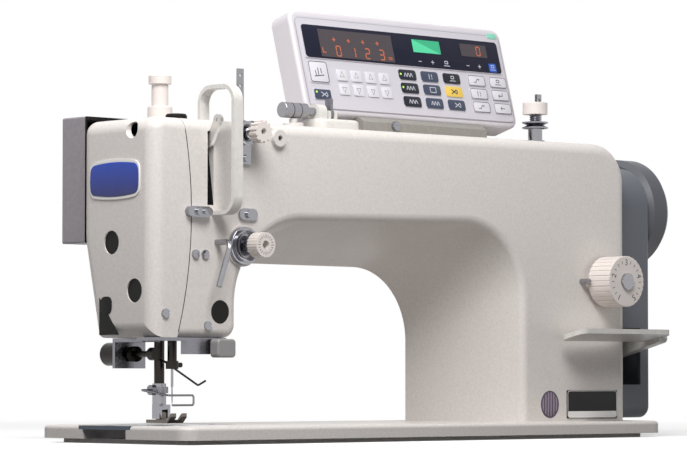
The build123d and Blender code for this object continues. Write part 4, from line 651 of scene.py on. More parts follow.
    def ring(self, rows: tuple[Pair, ...], sides: int = 40) -> None:
        """Spin a row of points round the plane's upright axis.

        Args:
            rows: Radius and height of each point, from the underside to the top.
            sides: Steps of the spin.
        """
        bm = self.mesh
        points = [bm.verts.new((radius, 0, height)) for radius, height in rows]
        edges = [bm.edges.new(pair) for pair in zip(points, points[1:])]
        bmesh.ops.spin(bm, geom=points + edges, axis=UP, cent=(0, 0, 0), dvec=(0, 0, 0),
                       angle=math.tau, steps=sides, use_merge=True, use_duplicate=False)
        bmesh.ops.remove_doubles(bm, verts=bm.verts, dist=self.TOUCH)

    def tick(self, angle: float, radius: float, size: Pair) -> None:
        """Print one tick that points to the plane's origin.

        Args:
            angle: Its place in degrees.
            radius: Its distance from the origin.
            size: Its width and length.
        """
        turn = math.radians(angle)
        spot = (radius * math.cos(turn), radius * math.sin(turn))
        self.plate(spot, size, *self.INK, turn=angle - 90)

    def wedge(self, at: Pair, size: Pair, low: float, high: float) -> None:
        """Add the lower left half of a plate, cut from corner to corner.

        Args:
            at: Lower left corner on the plane.
            size: Width and height.
            low: Height of its underside over the plane.
            high: Height of its face.
        """
        bm = self.mesh
        older = set(bm.faces)
        middle = (at[0] + size[0] / 2, at[1] + size[1] / 2, low)
        spot = Matrix.Translation(middle) @ Matrix.Diagonal((size[0], size[1], 1, 1))
        made = bmesh.ops.create_grid(bm, x_segments=1, y_segments=1, size=0.5, matrix=spot)["verts"]
        geom = [*made, *self._newest(older).edges, self._newest(older)]
        bmesh.ops.bisect_plane(bm, geom=geom, dist=self.TOUCH, plane_co=middle,
                               plane_no=(size[1], size[0], 0), clear_outer=True)
        self._raise(self._newest(older), high - low, 0.0)

    def _newest(self, older: set) -> Face:
        """Find the largest face that isn't among the older ones.

        Args:
            older: Faces from before.

        Returns:
            The new face.
        """
        return max((f for f in self.mesh.faces if f not in older), key=lambda f: f.calc_area())

    def _hollow(self, face: Face, line: float, rise: float) -> None:
        """Take the middle out of a face and pull up the rim that is left.

        Args:
            face: Flat face to start from.
            line: Width of the rim.
            rise: Thickness of the rim.
        """
        rim = bmesh.ops.inset_individual(self.mesh, faces=[face], thickness=line)["faces"]
        bmesh.ops.delete(self.mesh, geom=[face], context="FACES_ONLY")
        self._pull(rim, rise)

    def _raise(self, face: Face, rise: float, crown: float) -> None:
        """Pull a face up into a slab and round its upper rim.

        Args:
            face: Flat face to start from.
            rise: Thickness of the slab.
            crown: Bevel of the upper rim.
        """
        tops = self._pull([face], rise)
        if crown > 0:
            rim = list(dict.fromkeys(e for f in tops for e in f.edges))
            self._round(rim, crown, self.CROWN_STEPS, "EDGES")

    def _pull(self, faces: list[Face], rise: float) -> list[Face]:
        """Pull faces up off the plane.

        Args:
            faces: Flat faces to start from.
            rise: How far they go.

        Returns:
            The faces on top.
        """
        pulled = bmesh.ops.extrude_face_region(self.mesh, geom=faces)["geom"]
        moved = [v for v in pulled if isinstance(v, bmesh.types.BMVert)]
        bmesh.ops.translate(self.mesh, vec=(0, 0, rise), verts=moved)
        return [f for f in pulled if isinstance(f, Face)]

    def _round(self, geom: list, offset: float, steps: int, affect: str) -> None:
        """Round corners or edges.

        Args:
            geom: The points or edges.
            offset: How far the round reaches.
            steps: Its number of flats.
            affect: Whether points or edges are rounded.
        """
        bmesh.ops.bevel(self.mesh, geom=geom, offset=offset, offset_type="OFFSET", segments=steps,
                        profile=0.5, affect=affect, material=-1)

    def done(self) -> bpy.types.Object:
        """Write the mesh to an object at the origin that rides on the piece's body.

        Returns:
            The finished object.
        """
        bm = self.mesh
        bmesh.ops.recalc_face_normals(bm, faces=bm.faces)
        bmesh.ops.transform(bm, matrix=Matrix.Scale(MM, 4) @ self.place, verts=bm.verts)
        data = bpy.data.meshes.new(self.name)
        bm.to_mesh(data)
        bm.free()
        data.shade_smooth()
        data.set_sharp_from_angle(angle=math.radians(self.SHARP))
        data.materials.append(self.finish.material())
        thing = bpy.data.objects.new(self.name, data)
        bpy.context.scene.collection.objects.link(thing)
        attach(thing, self.body)
        log.info("piece %s: %d faces", self.name, len(data.polygons))
        return thing


def facing(origin: Triple, right: Triple,
           up: Triple) -> Matrix:
    """Give the plane of a piece from its place and two directions.

    Args:
        origin: The plane's origin in millimetres.
        right: Direction of its first axis.
        up: Direction of its second axis.

    Returns:
        The matrix from plane to frame.
    """
    one = Vector(right).normalized()
    two = Vector(up).normalized()
    three = one.cross(two)
    turn = Matrix((one, two, three)).transposed().to_4x4()
    return Matrix.Translation(origin) @ turn


@dataclass
class Studio:
    """White studio: camera, floor with the machine's cut-out, soft lamps and surround."""

    eye: Triple = (-1582.0, -1920.0, 36.4)
    look: Pair = (0.6756, 0.7373)
    pitch: float = 2.605
    lens: float = 170.5
    sensor: float = 36.0
    floor_height: float = -13.5
    cut_out: tuple[float, float, float, float] = (-53.0, -84.0, 438.0, 68.0)
    reach: float = 9000.0
    card_seen: str = "ECECEC"
    card_bounce: str = "4A4A4A"
    lift: float = 0.4
    fade: Pair = (550.0, 1300.0)
    room: float = 0.12
    aim: Triple = (190.0, 0.0, 110.0)
    lamps: tuple = (
        ("key", (-280.0, -650.0, 900.0), 500.0, 10.5),
        ("side", (-900.0, -300.0, 1500.0), 700.0, 10.0),
        ("top", (250.0, 300.0, 1700.0), 1300.0, 6.0),
    )

    def build(self) -> None:
        """Make the camera, floor, lamps and surround."""
        self._camera()
        self._floor()
        self._world()
        for name, place, size, power in self.lamps:
            self._lamp(name, place, size, power)
        log.info("studio ready")

    def _camera(self) -> None:
        """Place the camera that was solved from the photograph's bed corners."""
        data = bpy.data.cameras.new("photo_camera")
        data.lens = self.lens
        data.sensor_width = self.sensor
        data.clip_end = 100.0
        eye = bpy.data.objects.new("photo_camera", data)
        rise = math.tan(math.radians(self.pitch))
        ahead = Vector((self.look[0], self.look[1], rise * math.hypot(*self.look)))
        eye.location = Vector(self.eye) * MM
        eye.rotation_euler = ahead.to_track_quat("-Z", "Y").to_euler()
        bpy.context.scene.collection.objects.link(eye)
        bpy.context.scene.camera = eye

    def _floor(self) -> None:
        """Lay the floor round the skirt, white far off and able to take a shadow near the machine."""
        bm = bmesh.new()
        bmesh.ops.create_grid(bm, x_segments=3, y_segments=3, size=self.reach)
        low_x, low_y, high_x, high_y = self.cut_out
        half = self.reach / 2
        for v in bm.verts:
            v.co.z = self.floor_height
            if abs(v.co.x) < half:
                v.co.x = low_x if v.co.x < 0 else high_x
            if abs(v.co.y) < half:
                v.co.y = low_y if v.co.y < 0 else high_y
        middle = [f for f in bm.faces if all(abs(v.co.x) < half and abs(v.co.y) < half for v in f.verts)]
        bmesh.ops.delete(bm, geom=middle, context="FACES_ONLY")
        bmesh.ops.scale(bm, vec=(MM, MM, MM), verts=bm.verts)
        data = bpy.data.meshes.new("floor")
        bm.to_mesh(data)
        bm.free()
        data.materials.append(self._floor_material())
        floor = bpy.data.objects.new("floor", data)
        bpy.context.scene.collection.objects.link(floor)

    def _floor_material(self) -> bpy.types.Material:
        """Make white card: matt, with a lift for the eye that fades to plain white far off.

        Returns:
            The material.
        """
        made = bpy.data.materials.new("white_card")
        made.use_nodes = True
        tree = made.node_tree
        tree.nodes.clear()
        seen = self._seen(tree)
        lift = add(tree, "ShaderNodeMath", {0: seen, 1: self.lift}, operation="MULTIPLY")
        tone = add(tree, "ShaderNodeMix", {
            0: seen, 6: linear(self.card_bounce), 7: linear(self.card_seen),
        }, data_type="RGBA")
        card = add(tree, "ShaderNodeBsdfDiffuse", {"Color": tone.outputs[2]})
        glow = add(tree, "ShaderNodeEmission", {"Color": linear("FFFFFF"), "Strength": lift.outputs[0]})
        near = add(tree, "ShaderNodeAddShader", {0: card.outputs[0], 1: glow.outputs[0]})
        place = add(tree, "ShaderNodeTexCoord").outputs["Object"]
        away = add(tree, "ShaderNodeVectorMath", {0: place}, operation="LENGTH")
        fade = add(tree, "ShaderNodeMapRange", {
            "Value": away.outputs["Value"], "From Min": self.fade[0] * MM, "From Max": self.fade[1] * MM,
        })
        white = add(tree, "ShaderNodeEmission", {"Color": linear("FFFFFF"), "Strength": 1.0})
        both = add(tree, "ShaderNodeMixShader", {0: fade.outputs[0], 1: near.outputs[0], 2: white.outputs[0]})
        add(tree, "ShaderNodeOutputMaterial", {"Surface": both.outputs[0]})
        return made

    def _seen(self, tree: Tree) -> Socket:
        """Tell rays that the eye follows, straight, mirrored or through glass, from the rest.

        Args:
            tree: Node tree that gets the test.

        Returns:
            One for such rays and none for others.
        """
        path = add(tree, "ShaderNodeLightPath")
        first = add(tree, "ShaderNodeMath", {
            0: path.outputs["Is Camera Ray"], 1: path.outputs["Is Glossy Ray"],
        }, operation="MAXIMUM")
        return add(tree, "ShaderNodeMath", {
            0: first.outputs[0], 1: path.outputs["Is Transmission Ray"],
        }, operation="MAXIMUM").outputs[0]

    def _world(self) -> None:
        """Make the surround white to the eye and softer as a light."""
        world = bpy.data.worlds.new("white_room")
        bpy.context.scene.world = world
        world.use_nodes = True
        tree = world.node_tree
        tree.nodes.clear()
        level = add(tree, "ShaderNodeMapRange", {
            "Value": self._seen(tree), "To Min": self.room, "To Max": 1.0,
        })
        sky = add(tree, "ShaderNodeBackground", {
            "Color": linear("FFFFFF"), "Strength": level.outputs[0],
        })
        add(tree, "ShaderNodeOutputWorld", {"Surface": sky.outputs[0]})
        bpy.context.scene.view_settings.view_transform = "Standard"

    def _lamp(self, name: str, at: Triple, size: float, power: float) -> None:
        """Hang one square soft box that points at the machine's middle.

        Args:
            name: Name of the lamp.
            at: Its place in millimetres.
            size: Its side in millimetres.
            power: Its power in watts.
        """
        data = bpy.data.lights.new(name, "AREA")
        data.size = size * MM
        data.energy = power
        lamp = bpy.data.objects.new(name, data)
        lamp.location = Vector(at) * MM
        aim = Vector(self.aim) - Vector(at)
        lamp.rotation_euler = aim.to_track_quat("-Z", "Y").to_euler()
        bpy.context.scene.collection.objects.link(lamp)


@dataclass
class Assembly:
    """A sub-assembly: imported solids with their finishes, and the new pieces on them."""

    finishes: dict[str, Finish] = field(default_factory=dict)

    def dress(self) -> None:
        """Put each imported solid's finish on it."""
        for name, finish in self.finishes.items():
            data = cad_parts[name].data
            data.materials.clear()
            data.materials.append(finish.material())
            log.info("node %s: %s", name, finish.name)

    def build(self) -> None:
        """Make the new pieces; a plain sub-assembly has none."""


@dataclass
class Castings(Assembly):
    """Bed, arm, face plate and rear box, with badge, seam, plugs and caps."""

    finishes: dict[str, Finish] = field(default_factory=lambda: {
        "arm_casting": BODY, "bed_casting": BODY, "face_plate": BODY, "rear_box": SHEET_PAINT,
        "rubber_plugs": RUBBER_AND_SHADE, "badge_plate": BADGE, "cover_screws": NICKEL,
    })
    end_face: float = -56.0
    front_face: float = -45.0
    badge_height: float = 185.0
    badge_size: Pair = (60.0, 25.5)
    badge_bow: float = 2.3
    bezel_height: Pair = (-0.3, 0.9)
    bezel_corner: float = 6.0
    bezel_line: float = 1.9
    seam_middle: Pair = (-344.4, 159.2)
    seam_radius: float = 325.7
    seam_angles: Pair = (-15.9, 11.1)
    seam_width: float = 0.7
    seam_height: Pair = (-0.4, 0.08)
    cap_place: Triple = (-13.0, -20.0, 230.8)
    cap_rows: tuple[Pair, ...] = (
        (0.0, 0.0), (7.6, 0.0), (8.2, 1.0), (8.2, 3.4), (7.2, 4.8), (3.0, 5.2), (0.0, 5.2),
    )
    strap: tuple[Pair, Pair] = ((-18.0, 68.0), (23.0, 28.0))
    strap_height: Pair = (-0.3, 0.6)
    plug: tuple[Pair, Pair] = ((-9.8, 90.5), (12.6, 13.0))
    plug_height: Pair = (-0.5, 1.0)
    plug_corner: float = 4.5
    hollow_reach: float = 90.0
    lean: float = 0.7
    walls_round: int = 4
    recess_across: float = 16.0

    def dress(self) -> None:
        """Paint the castings, and leave their hollows raw, drawn near black as painted shade."""
        super().dress()
        self._paint_hollow_shade("arm_casting", 0.0)
        self._paint_hollow_shade("face_plate", self.recess_across)
        self._paint_hollow_shade("bed_casting", 0.0)
        self._shade_box()

    def build(self) -> None:
        """Make the badge's edge, the seam's painted shade strip, the oil cap, the strap and its plug."""
        self._bezel()
        self._seam()
        self._oil_cap()
        self._half_plug()

    def _paint_hollow_shade(self, name: str, nearest: float) -> None:
        """Give the near-black raw finish, painted shade for the hollows, to faces that look at other walls of
        the castings close by.

        Args:
            name: Casting whose faces are tested.
            nearest: Walls nearer than this in millimetres belong to a painted recess.
        """
        points: list[Vector] = []
        sides: list[list[int]] = []
        for wall in ("arm_casting", "face_plate", "bed_casting"):
            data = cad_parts[wall].data
            first = len(points)
            points += [v.co.copy() for v in data.vertices]
            sides += [[first + i for i in face.vertices] for face in data.polygons]
        walls = BVHTree.FromPolygons(points, sides)
        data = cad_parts[name].data
        data.materials.append(RAW_IRON_AND_SHADE.material())
        for face in data.polygons:
            across = face.normal.orthogonal().normalized()
            along = face.normal.cross(across)
            rays = [face.normal] + [
                (face.normal + self.lean * side).normalized() for side in (across, -across, along, -along)
            ]
            start = face.center + face.normal * 0.02 * MM
            ways = [walls.ray_cast(start, ray, self.hollow_reach * MM)[3] for ray in rays]
            hits = [way for way in ways if way is not None]
            if len(hits) >= self.walls_round and max(hits) > nearest * MM:
                # a face walled in on most sides gets the near-black finish as painted shade
                face.material_index = 1

    def _shade_box(self) -> None:
        """Paint the rear box's front, which faces the head, black as painted shade for the dark gap behind
        the head.
        """
        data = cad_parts["rear_box"].data
        data.materials.append(RUBBER_AND_SHADE.material())
        for face in data.polygons:
            if face.normal.y < -0.9:
                # the front face gets the black finish as painted shade
                face.material_index = 1

    def _bezel(self) -> None:
        """Raise a pale edge round the badge, its whiteness a painted highlight."""
        rim = Piece("badge_bezel", BADGE_EDGE_HIGHLIGHT, slot="body_paint",
                    place=facing((self.end_face, 0, self.badge_height), FORWARD, UP))
        rim.frame((0, 0), self.badge_size, *self.bezel_height, self.bezel_corner, self.bezel_line,
                  self.badge_bow)
        rim.done()

    def _seam(self) -> None:
        """Lay a dark strip in the seam between arm and face plate, as painted shade in the groove."""
        edge = Piece("seam_shade_strip", RUBBER_AND_SHADE, slot="black_rubber",
                     place=facing((0, self.front_face, 0), RIGHT, UP))
        edge.arc(self.seam_middle, self.seam_radius, self.seam_width, self.seam_angles, *self.seam_height)
        edge.done()

    def _oil_cap(self) -> None:
        """Seat the black oil cap on top of the head."""
        cap = Piece("oil_cap", RUBBER_AND_SHADE, slot="black_rubber", place=Matrix.Translation(self.cap_place))
        cap.ring(self.cap_rows)
        cap.done()

    def _half_plug(self) -> None:
        """Fit the black strap over the end cover's low back corner, with the flat plug at its top."""
        place = facing((self.end_face, 0, 0), FORWARD, UP)
        strap = Piece("corner_strap", RUBBER_AND_SHADE, slot="black_rubber", place=place)
        strap.wedge(*self.strap, *self.strap_height)
        strap.done()
        plug = Piece("half_plug", RUBBER_AND_SHADE, slot="black_rubber", place=place)
        plug.plate(*self.plug, *self.plug_height, self.plug_corner, crown=0.3)
        plug.done()


@dataclass
class HeadMechanism(Assembly):
    """Shaft, needle bar, take-up, presser and what hangs under the head."""

    finishes: dict[str, Finish] = field(default_factory=lambda: {
        "needle_bar_frame": IRON, "fixed_pins": NICKEL, "needle_bar": DARK_STEEL, "needle": NICKEL,
        "needle_link": STEEL, "take_up_lever": PALE_STEEL, "presser_bar": DARK_STEEL, "foot_shank": NICKEL,
        "foot_sole": WORN_STEEL, "finger_guard": STEEL, "presser_screw": IVORY, "presser_lock_ring": IVORY,
        "hand_lifter": IRON, "wiper_bracket": STEEL, "wiper_solenoid": DARK_STEEL, "wiper_arm": DARK_STEEL,
        "switch_bracket": STEEL, "switch_button": GREY_ABS,
    })


@dataclass
class FeedAndHook(Assembly):
    """Plates on the bed and the feed and hook below them."""

    finishes: dict[str, Finish] = field(default_factory=lambda: {
        "needle_plate": PLATE_STEEL, "slide_plate": SLIDE_STEEL, "rotary_hook": STEEL, "bobbin_case": STEEL,
        "hook_finger": STEEL, "feed_rock_shaft": STEEL, "feed_bar": IRON, "feed_dog": STEEL,
        "lower_shaft": STEEL,
    })


@dataclass
class Drive(Assembly):
    """Motor cover, handwheel, main shaft and belt."""

    finishes: dict[str, Finish] = field(default_factory=lambda: {
        "motor_cover": DARK_ABS, "handwheel": DARKER_ABS, "main_shaft": STEEL, "shaft_bushes": BRONZE,
        "upper_pulley": IRON, "timing_belt": BELT,
    })


@dataclass
class ThreadPath(Assembly):
    """Tensions, guides, take-up guard and winder."""

    finishes: dict[str, Finish] = field(default_factory=lambda: {
        "take_up_guard": SMOOTH_PAINT, "thread_guides": NICKEL, "tension_post": NICKEL,
        "tension_discs": NICKEL, "tension_knob": IVORY, "pre_tension": NICKEL,
        "pre_tension_knob": IVORY, "winder_tension": NICKEL, "winder_tension_knob": IVORY,
        "winder_base": SMOOTH_PAINT, "winder_spindle": NICKEL, "winder_lever": STEEL,
    })
    knob_middle: Triple = (31.0, -73.2, 136.0)
    knob_radius: float = 6.6
    ticks: int = 20
    tick_width: float = 0.4
    tick_lengths: Pair = (1.8, 2.8)

    def build(self) -> None:
        """Print the ticks on the tension knob's face."""
        marks = Piece("tension_ticks", INK, "tension_nut", "ivory_plastic",
                      facing(self.knob_middle, RIGHT, UP))
        for tick in range(self.ticks):
            long = self.tick_lengths[tick % 5 == 0]
            marks.tick(tick * 360 / self.ticks, self.knob_radius, (self.tick_width, long))
        marks.done()


class Key(Enum):
    """Colours of the panel's dark keys."""

    NAVY = KEY_NAVY
    SLATE = KEY_SLATE
    YELLOW = KEY_YELLOW


class Sign(Enum):
    """Plain signs on the keys: x, y, length and angle of each stroke."""

    ZIGZAG = ((-4.2, 0, 3.6, 68), (-2.6, 0, 3.6, -68), (-1.0, 0, 3.6, 68), (0.6, 0, 3.6, -68),
              (2.2, 0, 3.6, 68), (3.8, 0, 3.6, -68))
    BOX = ((0, 2.2, 6.4, 0), (0, -2.2, 6.4, 0), (-3.2, 0, 4.4, 90), (3.2, 0, 4.4, 90))
    PAIR = ((-1.5, 0, 4.6, 90), (1.3, 0.9, 2.4, 90), (1.3, -1.6, 1.2, 90))
    LOOP = ((0, 2.1, 3.2, 0), (-1.6, 1.0, 2.2, 90), (1.6, 1.0, 2.2, 90), (0, -0.1, 3.2, 0), (0, -2.0, 6.6, 0))
    CROSS = ((0, 0, 7.2, 32), (0, 0, 7.2, -32), (3.4, 0, 2.6, 90))
    STEP = ((-2.2, -1.4, 3.0, 0), (-0.2, 0, 3.6, 55), (1.9, 1.4, 2.6, 0), (2.6, 0.8, 1.6, 60))
    RETURN = ((2.2, 0.8, 2.8, 90), (0, -0.6, 4.6, 0), (-1.6, 0.1, 1.9, 45), (-1.6, -1.3, 1.9, -45))
    ARROW = ((0, 0, 4.8, 0), (-1.8, 0.7, 2.0, 40), (-1.8, -0.7, 2.0, -40))
    PRESSER = ((-3.4, -1.0, 4.4, 90), (-0.6, 0.4, 6.0, 90), (2.6, 1.0, 4.4, 90), (0, -3.2, 10.4, 8))
    MINUS = ((0, 0, 3.4, 0),)
    PLUS = ((0, 0, 3.4, 0), (0, 0, 3.4, 90))
    CORNER = ((0, -2.2, 4.0, 0), (-1.2, 0, 4.0, 90))
    DASHES = ((0, 0, 4.4, 0), (0, -1.4, 4.4, 0))


@dataclass
class Panel(Assembly):
    """The key panel's windows, figures and keys, on the slanted face of its case."""

    finishes: dict[str, Finish] = field(default_factory=lambda: {
        "panel_case": SHELL, "panel_overlay": FILM, "panel_bracket": BRACKET_PAINT,
    })
    origin: Triple = (131.0, -8.0, 245.2)
    up: Triple = (0.0, 0.2672, 0.9636)
    film: float = 0.8
    display: float = 1.7
    pad: float = 1.5
    skin: float = 0.25
    dark_columns: tuple[float, ...] = (118.1, 143.2, 168.5)
    pale_columns: tuple[float, ...] = (197.7, 222.7)
    rows: tuple[float, ...] = (39.1, 27.6, 15.9)
    key_size: Pair = (19.6, 9.0)
    key_corner: float = 2.2
    arrow_columns: tuple[float, ...] = (44.2, 59.8, 75.5, 90.8)
    arrow_rows: tuple[float, ...] = (34.0, 22.0)
    arrow_size: Pair = (11.5, 9.5)
    arrow_corner: float = 1.0
    arrow_half: Pair = (2.7, 3.3)
    lift_key: Pair = (19.4, 35.2)
    lift_size: Pair = (20.0, 18.0)
    lift_line: Pair = (19.8, 17.8)
    low_key: Pair = (19.4, 16.2)
    low_size: Pair = (17.6, 8.4)
    low_corner: float = 1.4
    lamp_shift: float = 7.6
    lamp_radius: float = 0.9
    digits: str = "0123"
    digit_columns: tuple[float, ...] = (45.3, 61.2, 77.1, 93.0)
    digit_row: float = 54.4
    digit_size: Pair = (4.6, 8.4)
    count: tuple[Pair, Pair] = ((206.0, 65.6), (4.2, 7.6))
    mark_row: float = 64.0
    mark_shift: float = 3.2
    window: tuple[Pair, Pair] = ((119.5, 61.2), (221.0, 28.0))
    glasses: tuple = (((66.3, 60.5), (80.6, 23.4)), ((200.7, 65.8), (30.6, 11.0)))
    green: tuple[Pair, Pair] = ((145.8, 65.4), (31.4, 11.2))
    green_corner: Pair = (130.1, 59.8)
    blue_key: tuple[Pair, Pair] = ((219.8, 51.8), (8.4, 7.6))
    outline: tuple[Pair, Pair] = ((119.5, 43.0), (231.0, 77.0))
    tab: tuple[Pair, Pair] = ((227.0, 81.0), (11.0, 4.6))
    sign_row: float = 52.0
    corner_mark: Pair = (29.4, 54.6)
    dash_mark: Pair = (102.0, 52.6)
    sunk: float = 0.05
    glass: float = 0.15
    ink: float = 0.06
    lit: float = 0.1
    crown: float = 0.12

    COLOURS = (
        (Key.NAVY, Key.SLATE, Key.NAVY),
        (Key.NAVY, Key.SLATE, Key.YELLOW),
        (Key.NAVY, Key.SLATE, Key.SLATE),
    )
    DARK_SIGNS = (
        (Sign.ZIGZAG, Sign.PAIR, Sign.LOOP),
        (Sign.ZIGZAG, Sign.BOX, Sign.CROSS),
        (Sign.ZIGZAG, Sign.ZIGZAG, Sign.CROSS),
    )
    PALE_SIGNS = ((Sign.STEP, Sign.LOOP), (Sign.PAIR, Sign.RETURN), (Sign.STEP, Sign.ARROW))
    WINDOW_SIGNS = (
        (135.5, Sign.MINUS), (149.9, Sign.PLUS), (165.7, Sign.LOOP), (190.8, Sign.MINUS), (204.4, Sign.PLUS),
    )
    SEGMENTS = {"0": "abcdef", "1": "bc", "2": "abged", "3": "abgcd"}

    def build(self) -> None:
        """Make every window, key and mark."""
        self._windows()
        self._figures()
        self._keys()
        self._outlines()
        self._signs()
        self._trim()

    def _new(self, name: str, finish: Finish, slot: str = "panel_keys") -> Piece:
        """Start a piece on the panel's plane.

        Args:
            name: Name of the piece.
            finish: Its finish.
            slot: Its slot in the record; the piece keeps it, but nothing uses it.

        Returns:
            The empty piece.
        """
        return Piece(name, finish, slot=slot, place=facing(self.origin, RIGHT, self.up))

    def _on_keys(self) -> Pair:
        """Give the heights of print on a key's face.

        Returns:
            Heights of its underside and its face over the plane.
        """
        face = self.pad + self.skin
        return face - 0.02, face + self.ink

    def _plates(self, name: str, finish: Finish, spots: tuple, low: float, high: float,
                corner: float = 0.6, crown: float = 0.0, slot: str = "panel_keys") -> None:
        """Make a piece of flat plates.

        Args:
            name: Name of the piece.
            finish: Its finish.
            spots: Middle and size of each plate.
            low: Height of the undersides over the plane.
            high: Height of the faces.
            corner: Radius of the corners.
            crown: Bevel round the faces.
            slot: Its slot in the record; the piece keeps it, but nothing uses it.
        """
        piece = self._new(name, finish, slot)
        for at, size in spots:
            piece.plate(at, size, low, high, corner, crown=crown)
        piece.done()

    def _windows(self) -> None:
        """Lay the smoked window, the display glasses and the green wedge."""
        base = self.display
        self._plates("panel_window", WINDOW, (self.window,), base - self.skin, base + self.skin, 3.0, 0.1)
        base += self.skin
        self._plates("panel_glasses", LCD, self.glasses, base - self.sunk, base + self.glass)
        self._plates("panel_green_window", GREEN_DEEP, (self.green,), base - self.sunk, base + 0.12)
        bright = self._new("panel_green_wedge", GREEN)
        bright.wedge(self.green_corner, self.green[1], base + 0.1, base + 0.18)
        bright.done()

    def _figures(self) -> None:
        """Light the figures and the small marks over and beside them."""
        base = self.display + self.skin + self.glass
        low, high = base - self.sunk, base + self.lit
        figures = self._new("panel_figures", SEGMENT)
        for digit, x in zip(self.digits, self.digit_columns):
            self._digit(figures, digit, (x, self.digit_row), self.digit_size, base)
        self._digit(figures, "0", *self.count, base)
        for x in self.digit_columns:
            figures.sign(Sign.PLUS.value, (x - self.mark_shift, self.mark_row), low, high, 0.9)
        figures.sign(Sign.CORNER.value, self.corner_mark, low, high, 0.8)
        figures.sign(Sign.DASHES.value, self.dash_mark, low, high, 0.7)
        figures.done()

    def _digit(self, piece: Piece, digit: str, at: Pair, size: Pair,
               base: float) -> None:
        """Draw one seven-bar figure.

        Args:
            piece: Piece that gets the bars.
            digit: Which figure.
            at: Its middle on the panel.
            size: Its width and height.
            base: Height of the glass.
        """
        half_w, half_h = size[0] / 2, size[1] / 2
        thick = size[0] * 0.22
        spots = {
            "a": ((0, half_h), True), "d": ((0, -half_h), True), "g": ((0, 0), True),
            "b": ((half_w, half_h / 2), False), "c": ((half_w, -half_h / 2), False),
            "e": ((-half_w, -half_h / 2), False), "f": ((-half_w, half_h / 2), False),
        }
        for name in self.SEGMENTS[digit]:
            (x, y), flat = spots[name]
            long = (size[0] if flat else half_h) - thick * 0.6
            box = (long, thick) if flat else (thick, long)
            piece.plate((at[0] + x, at[1] + y), box, base - self.sunk, base + self.lit, thick * 0.3)

    def _keys(self) -> None:
        """Cap every pad: dark keys, white keys, arrow keys and the blue key."""
        base, top = self.pad - self.sunk, self.pad + self.skin
        for kind in Key:
            caps = self._new(f"panel_{kind.name.lower()}_keys", kind.value)
            for y, line in zip(self.rows, self.COLOURS):
                for x, colour in zip(self.dark_columns, line):
                    if colour is kind:
                        caps.plate((x, y), self.key_size, base, top, self.key_corner, crown=self.crown)
            if kind is Key.SLATE:
                caps.plate(self.low_key, self.low_size, base, top, self.low_corner, crown=self.crown)
            caps.done()
        pale = self._new("panel_white_keys", KEY_WHITE)
        for x in self.pale_columns:
            for y in self.rows:
                pale.plate((x, y), self.key_size, base, top, self.key_corner, crown=self.crown)
        for x in self.arrow_columns:
            for y in self.arrow_rows:
                pale.plate((x, y), self.arrow_size, base, top, self.arrow_corner, crown=self.crown)
        pale.plate(self.lift_key, self.lift_size, base, top, self.key_corner, crown=self.crown)
        pale.done()
        self._plates("panel_blue_key", KEY_BLUE, (self.blue_key,), self.display, self.display + 0.45,
                     1.2, 0.1)

    def _outlines(self) -> None:
        """Print the white keys' outlines, the hollow arrows and the dark signs."""
        low, high = self._on_keys()
        lines = self._new("panel_key_outlines", INK)
        for y, signs in zip(self.rows, self.PALE_SIGNS):
            for x, sign in zip(self.pale_columns, signs):
                lines.frame((x, y), self.key_size, low, high, self.key_corner, 0.4)
                lines.sign(sign.value, (x, y), low, high)
        lines.frame(self.lift_key, self.lift_line, low, high, self.key_corner, 0.6)
        lines.sign(Sign.PRESSER.value, self.lift_key, low, high, 0.8)
        for x in self.arrow_columns:
            for row, y in enumerate(self.arrow_rows):
                lines.disc((x, y), self.arrow_half, low, high, sides=3, turn=180.0 * row, line=0.5)
        lines.sign(Sign.CROSS.value, (self.dark_columns[2], self.rows[1]), low, high, 1.0)
        lines.done()

    def _signs(self) -> None:
        """Print the pale signs on the dark keys and the window, and set the small lamps."""
        low, high = self._on_keys()
        pale = self._new("panel_key_signs", INK_PALE)
        for y, signs, colours in zip(self.rows, self.DARK_SIGNS, self.COLOURS):
            for x, sign, colour in zip(self.dark_columns, signs, colours):
                if colour is not Key.YELLOW:
                    pale.sign(sign.value, (x + 1.0, y), low, high)
        pale.sign(Sign.CROSS.value, (self.low_key[0] + 1.5, self.low_key[1]), low, high)
        deep = self.display + self.skin
        for x, sign in self.WINDOW_SIGNS:
            pale.sign(sign.value, (x, self.sign_row), deep - self.sunk, deep + self.ink)
        pale.sign(Sign.LOOP.value, (self.blue_key[0][0], self.sign_row), deep + 0.15, deep + 0.26, 0.5)
        pale.done()
        lamp = self._new("panel_lamps", LAMP)
        left, size = self.dark_columns[0] - self.lamp_shift, (self.lamp_radius, self.lamp_radius)
        low_lamp = (self.low_key[0] - 6.4, self.low_key[1] + 1.4)
        for x, y in ((left, self.rows[0]), (left, self.rows[1]), low_lamp):
            lamp.disc((x, y + 0.4), size, low, high + self.lit, sides=12, crown=0.05)
        lamp.done()

    def _trim(self) -> None:
        """Draw the grey line round the film as painted shade in its groove, and stick on the mint tab, whose
        small glow is painted light.
        """
        line = self._new("panel_film_groove_shade", FILM_GROOVE_SHADE)
        line.frame(*self.outline, self.film - self.sunk, self.film + self.ink, corner=5.0, line=0.45)
        line.done()
        self._plates("panel_tab", TAB, (self.tab,), self.film - 0.2, self.film + 0.5, 1.6, 0.15,
                     "panel_shell")


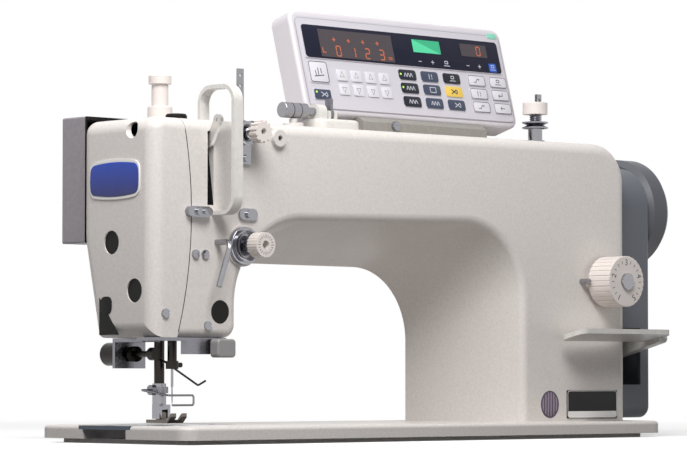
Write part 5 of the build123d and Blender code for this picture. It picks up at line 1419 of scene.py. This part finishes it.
@dataclass
class Column(Assembly):
    """Stitch dial, reverse lever, nameplate and seal on the column."""

    finishes: dict[str, Finish] = field(default_factory=lambda: {
        "stitch_dial": IVORY, "dial_cap": NICKEL, "reverse_lever": SMOOTH_PAINT, "nameplate": PLATE_BLACK,
    })
    slant: float = 0.0534
    head_edge: float = 27.0
    head_front: float = 45.0
    dial_middle: Triple = (411.0, -92.0, 115.5)
    dial_radius: float = 15.6
    first: float = 236.0
    step: float = 73.0
    numerals: int = 5
    tall: float = 5.2
    tick_radius: float = 16.2
    tick_size: Pair = (0.5, 2.6)
    parts: int = 4
    plate_middle: Pair = (397.5, 14.0)
    plate_band: tuple[Pair, Pair] = ((0.0, -8.3), (55.0, 5.0))
    plate_line: Pair = (56.4, 22.4)
    plate_face: float = 0.75
    seal_middle: Pair = (350.0, 14.0)
    seal_size: Pair = (10.0, 11.2)
    seal_edge: Pair = (9.9, 11.1)
    seal_height: Pair = (-0.1, 0.3)
    seal_edge_height: Pair = (0.25, 0.36)
    seal_edge_line: float = 1.1
    seal_sides: int = 48

    def build(self) -> None:
        """Print the dial and the nameplate, and stick on the seal."""
        self._dial()
        self._nameplate()
        self._seal()

    def _front(self, x: float, z: float) -> Matrix:
        """Give the plane on the slanted front at a place.

        Args:
            x: Place along the arm.
            z: Height over the bed.

        Returns:
            The matrix from plane to frame.
        """
        y = -(self.head_front + (x - self.head_edge) * self.slant)
        return facing((x, y, z), (1, -self.slant, 0), UP)

    def _dial(self) -> None:
        """Print the numerals and the ticks between them."""
        marks = Piece("dial_numerals", INK, "dial", "ivory_plastic",
                      facing(self.dial_middle, RIGHT, UP))
        for index in range(self.numerals):
            angle = self.first - index * self.step
            turn = math.radians(angle)
            spot = (self.dial_radius * math.cos(turn), self.dial_radius * math.sin(turn))
            marks.words(str(index + 1), spot, self.tall, *marks.INK, angle - 90)
            if index < self.numerals - 1:
                for part in range(1, self.parts):
                    marks.tick(angle - part / self.parts * self.step, self.tick_radius, self.tick_size)
        marks.done()

    def _nameplate(self) -> None:
        """Print a pale band and line on the nameplate's black face."""
        band = Piece("nameplate_print", PLATE_WHITE, slot="plate_face", place=self._front(*self.plate_middle))
        face = self.plate_face
        band.plate(*self.plate_band, face, face + 0.15, corner=1.0)
        band.frame((0, 0), self.plate_line, face, face + 0.13, corner=2.6, line=0.5)
        band.done()

    def _seal(self) -> None:
        """Stick the oval foil seal beside the nameplate."""
        place = self._front(*self.seal_middle)
        seal = Piece("seal", SEAL, slot="plate_face", place=place)
        seal.disc((0, 0), self.seal_size, *self.seal_height, self.seal_sides, crown=0.08)
        seal.done()
        edge = Piece("seal_edge", SEAL_EDGE, slot="plate_face", place=place)
        edge.disc((0, 0), self.seal_edge, *self.seal_edge_height, self.seal_sides,
                  line=self.seal_edge_line)
        edge.done()


def main() -> None:
    """Build and dress everything in order."""
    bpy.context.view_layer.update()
    Studio().build()
    for part in (Castings(), HeadMechanism(), FeedAndHook(), Drive(), ThreadPath(), Panel(), Column()):
        part.dress()
        part.build()
        log.info("%s ready", type(part).__name__)


if __name__ == "__main__":
    logging.basicConfig(level=logging.INFO)
    main()
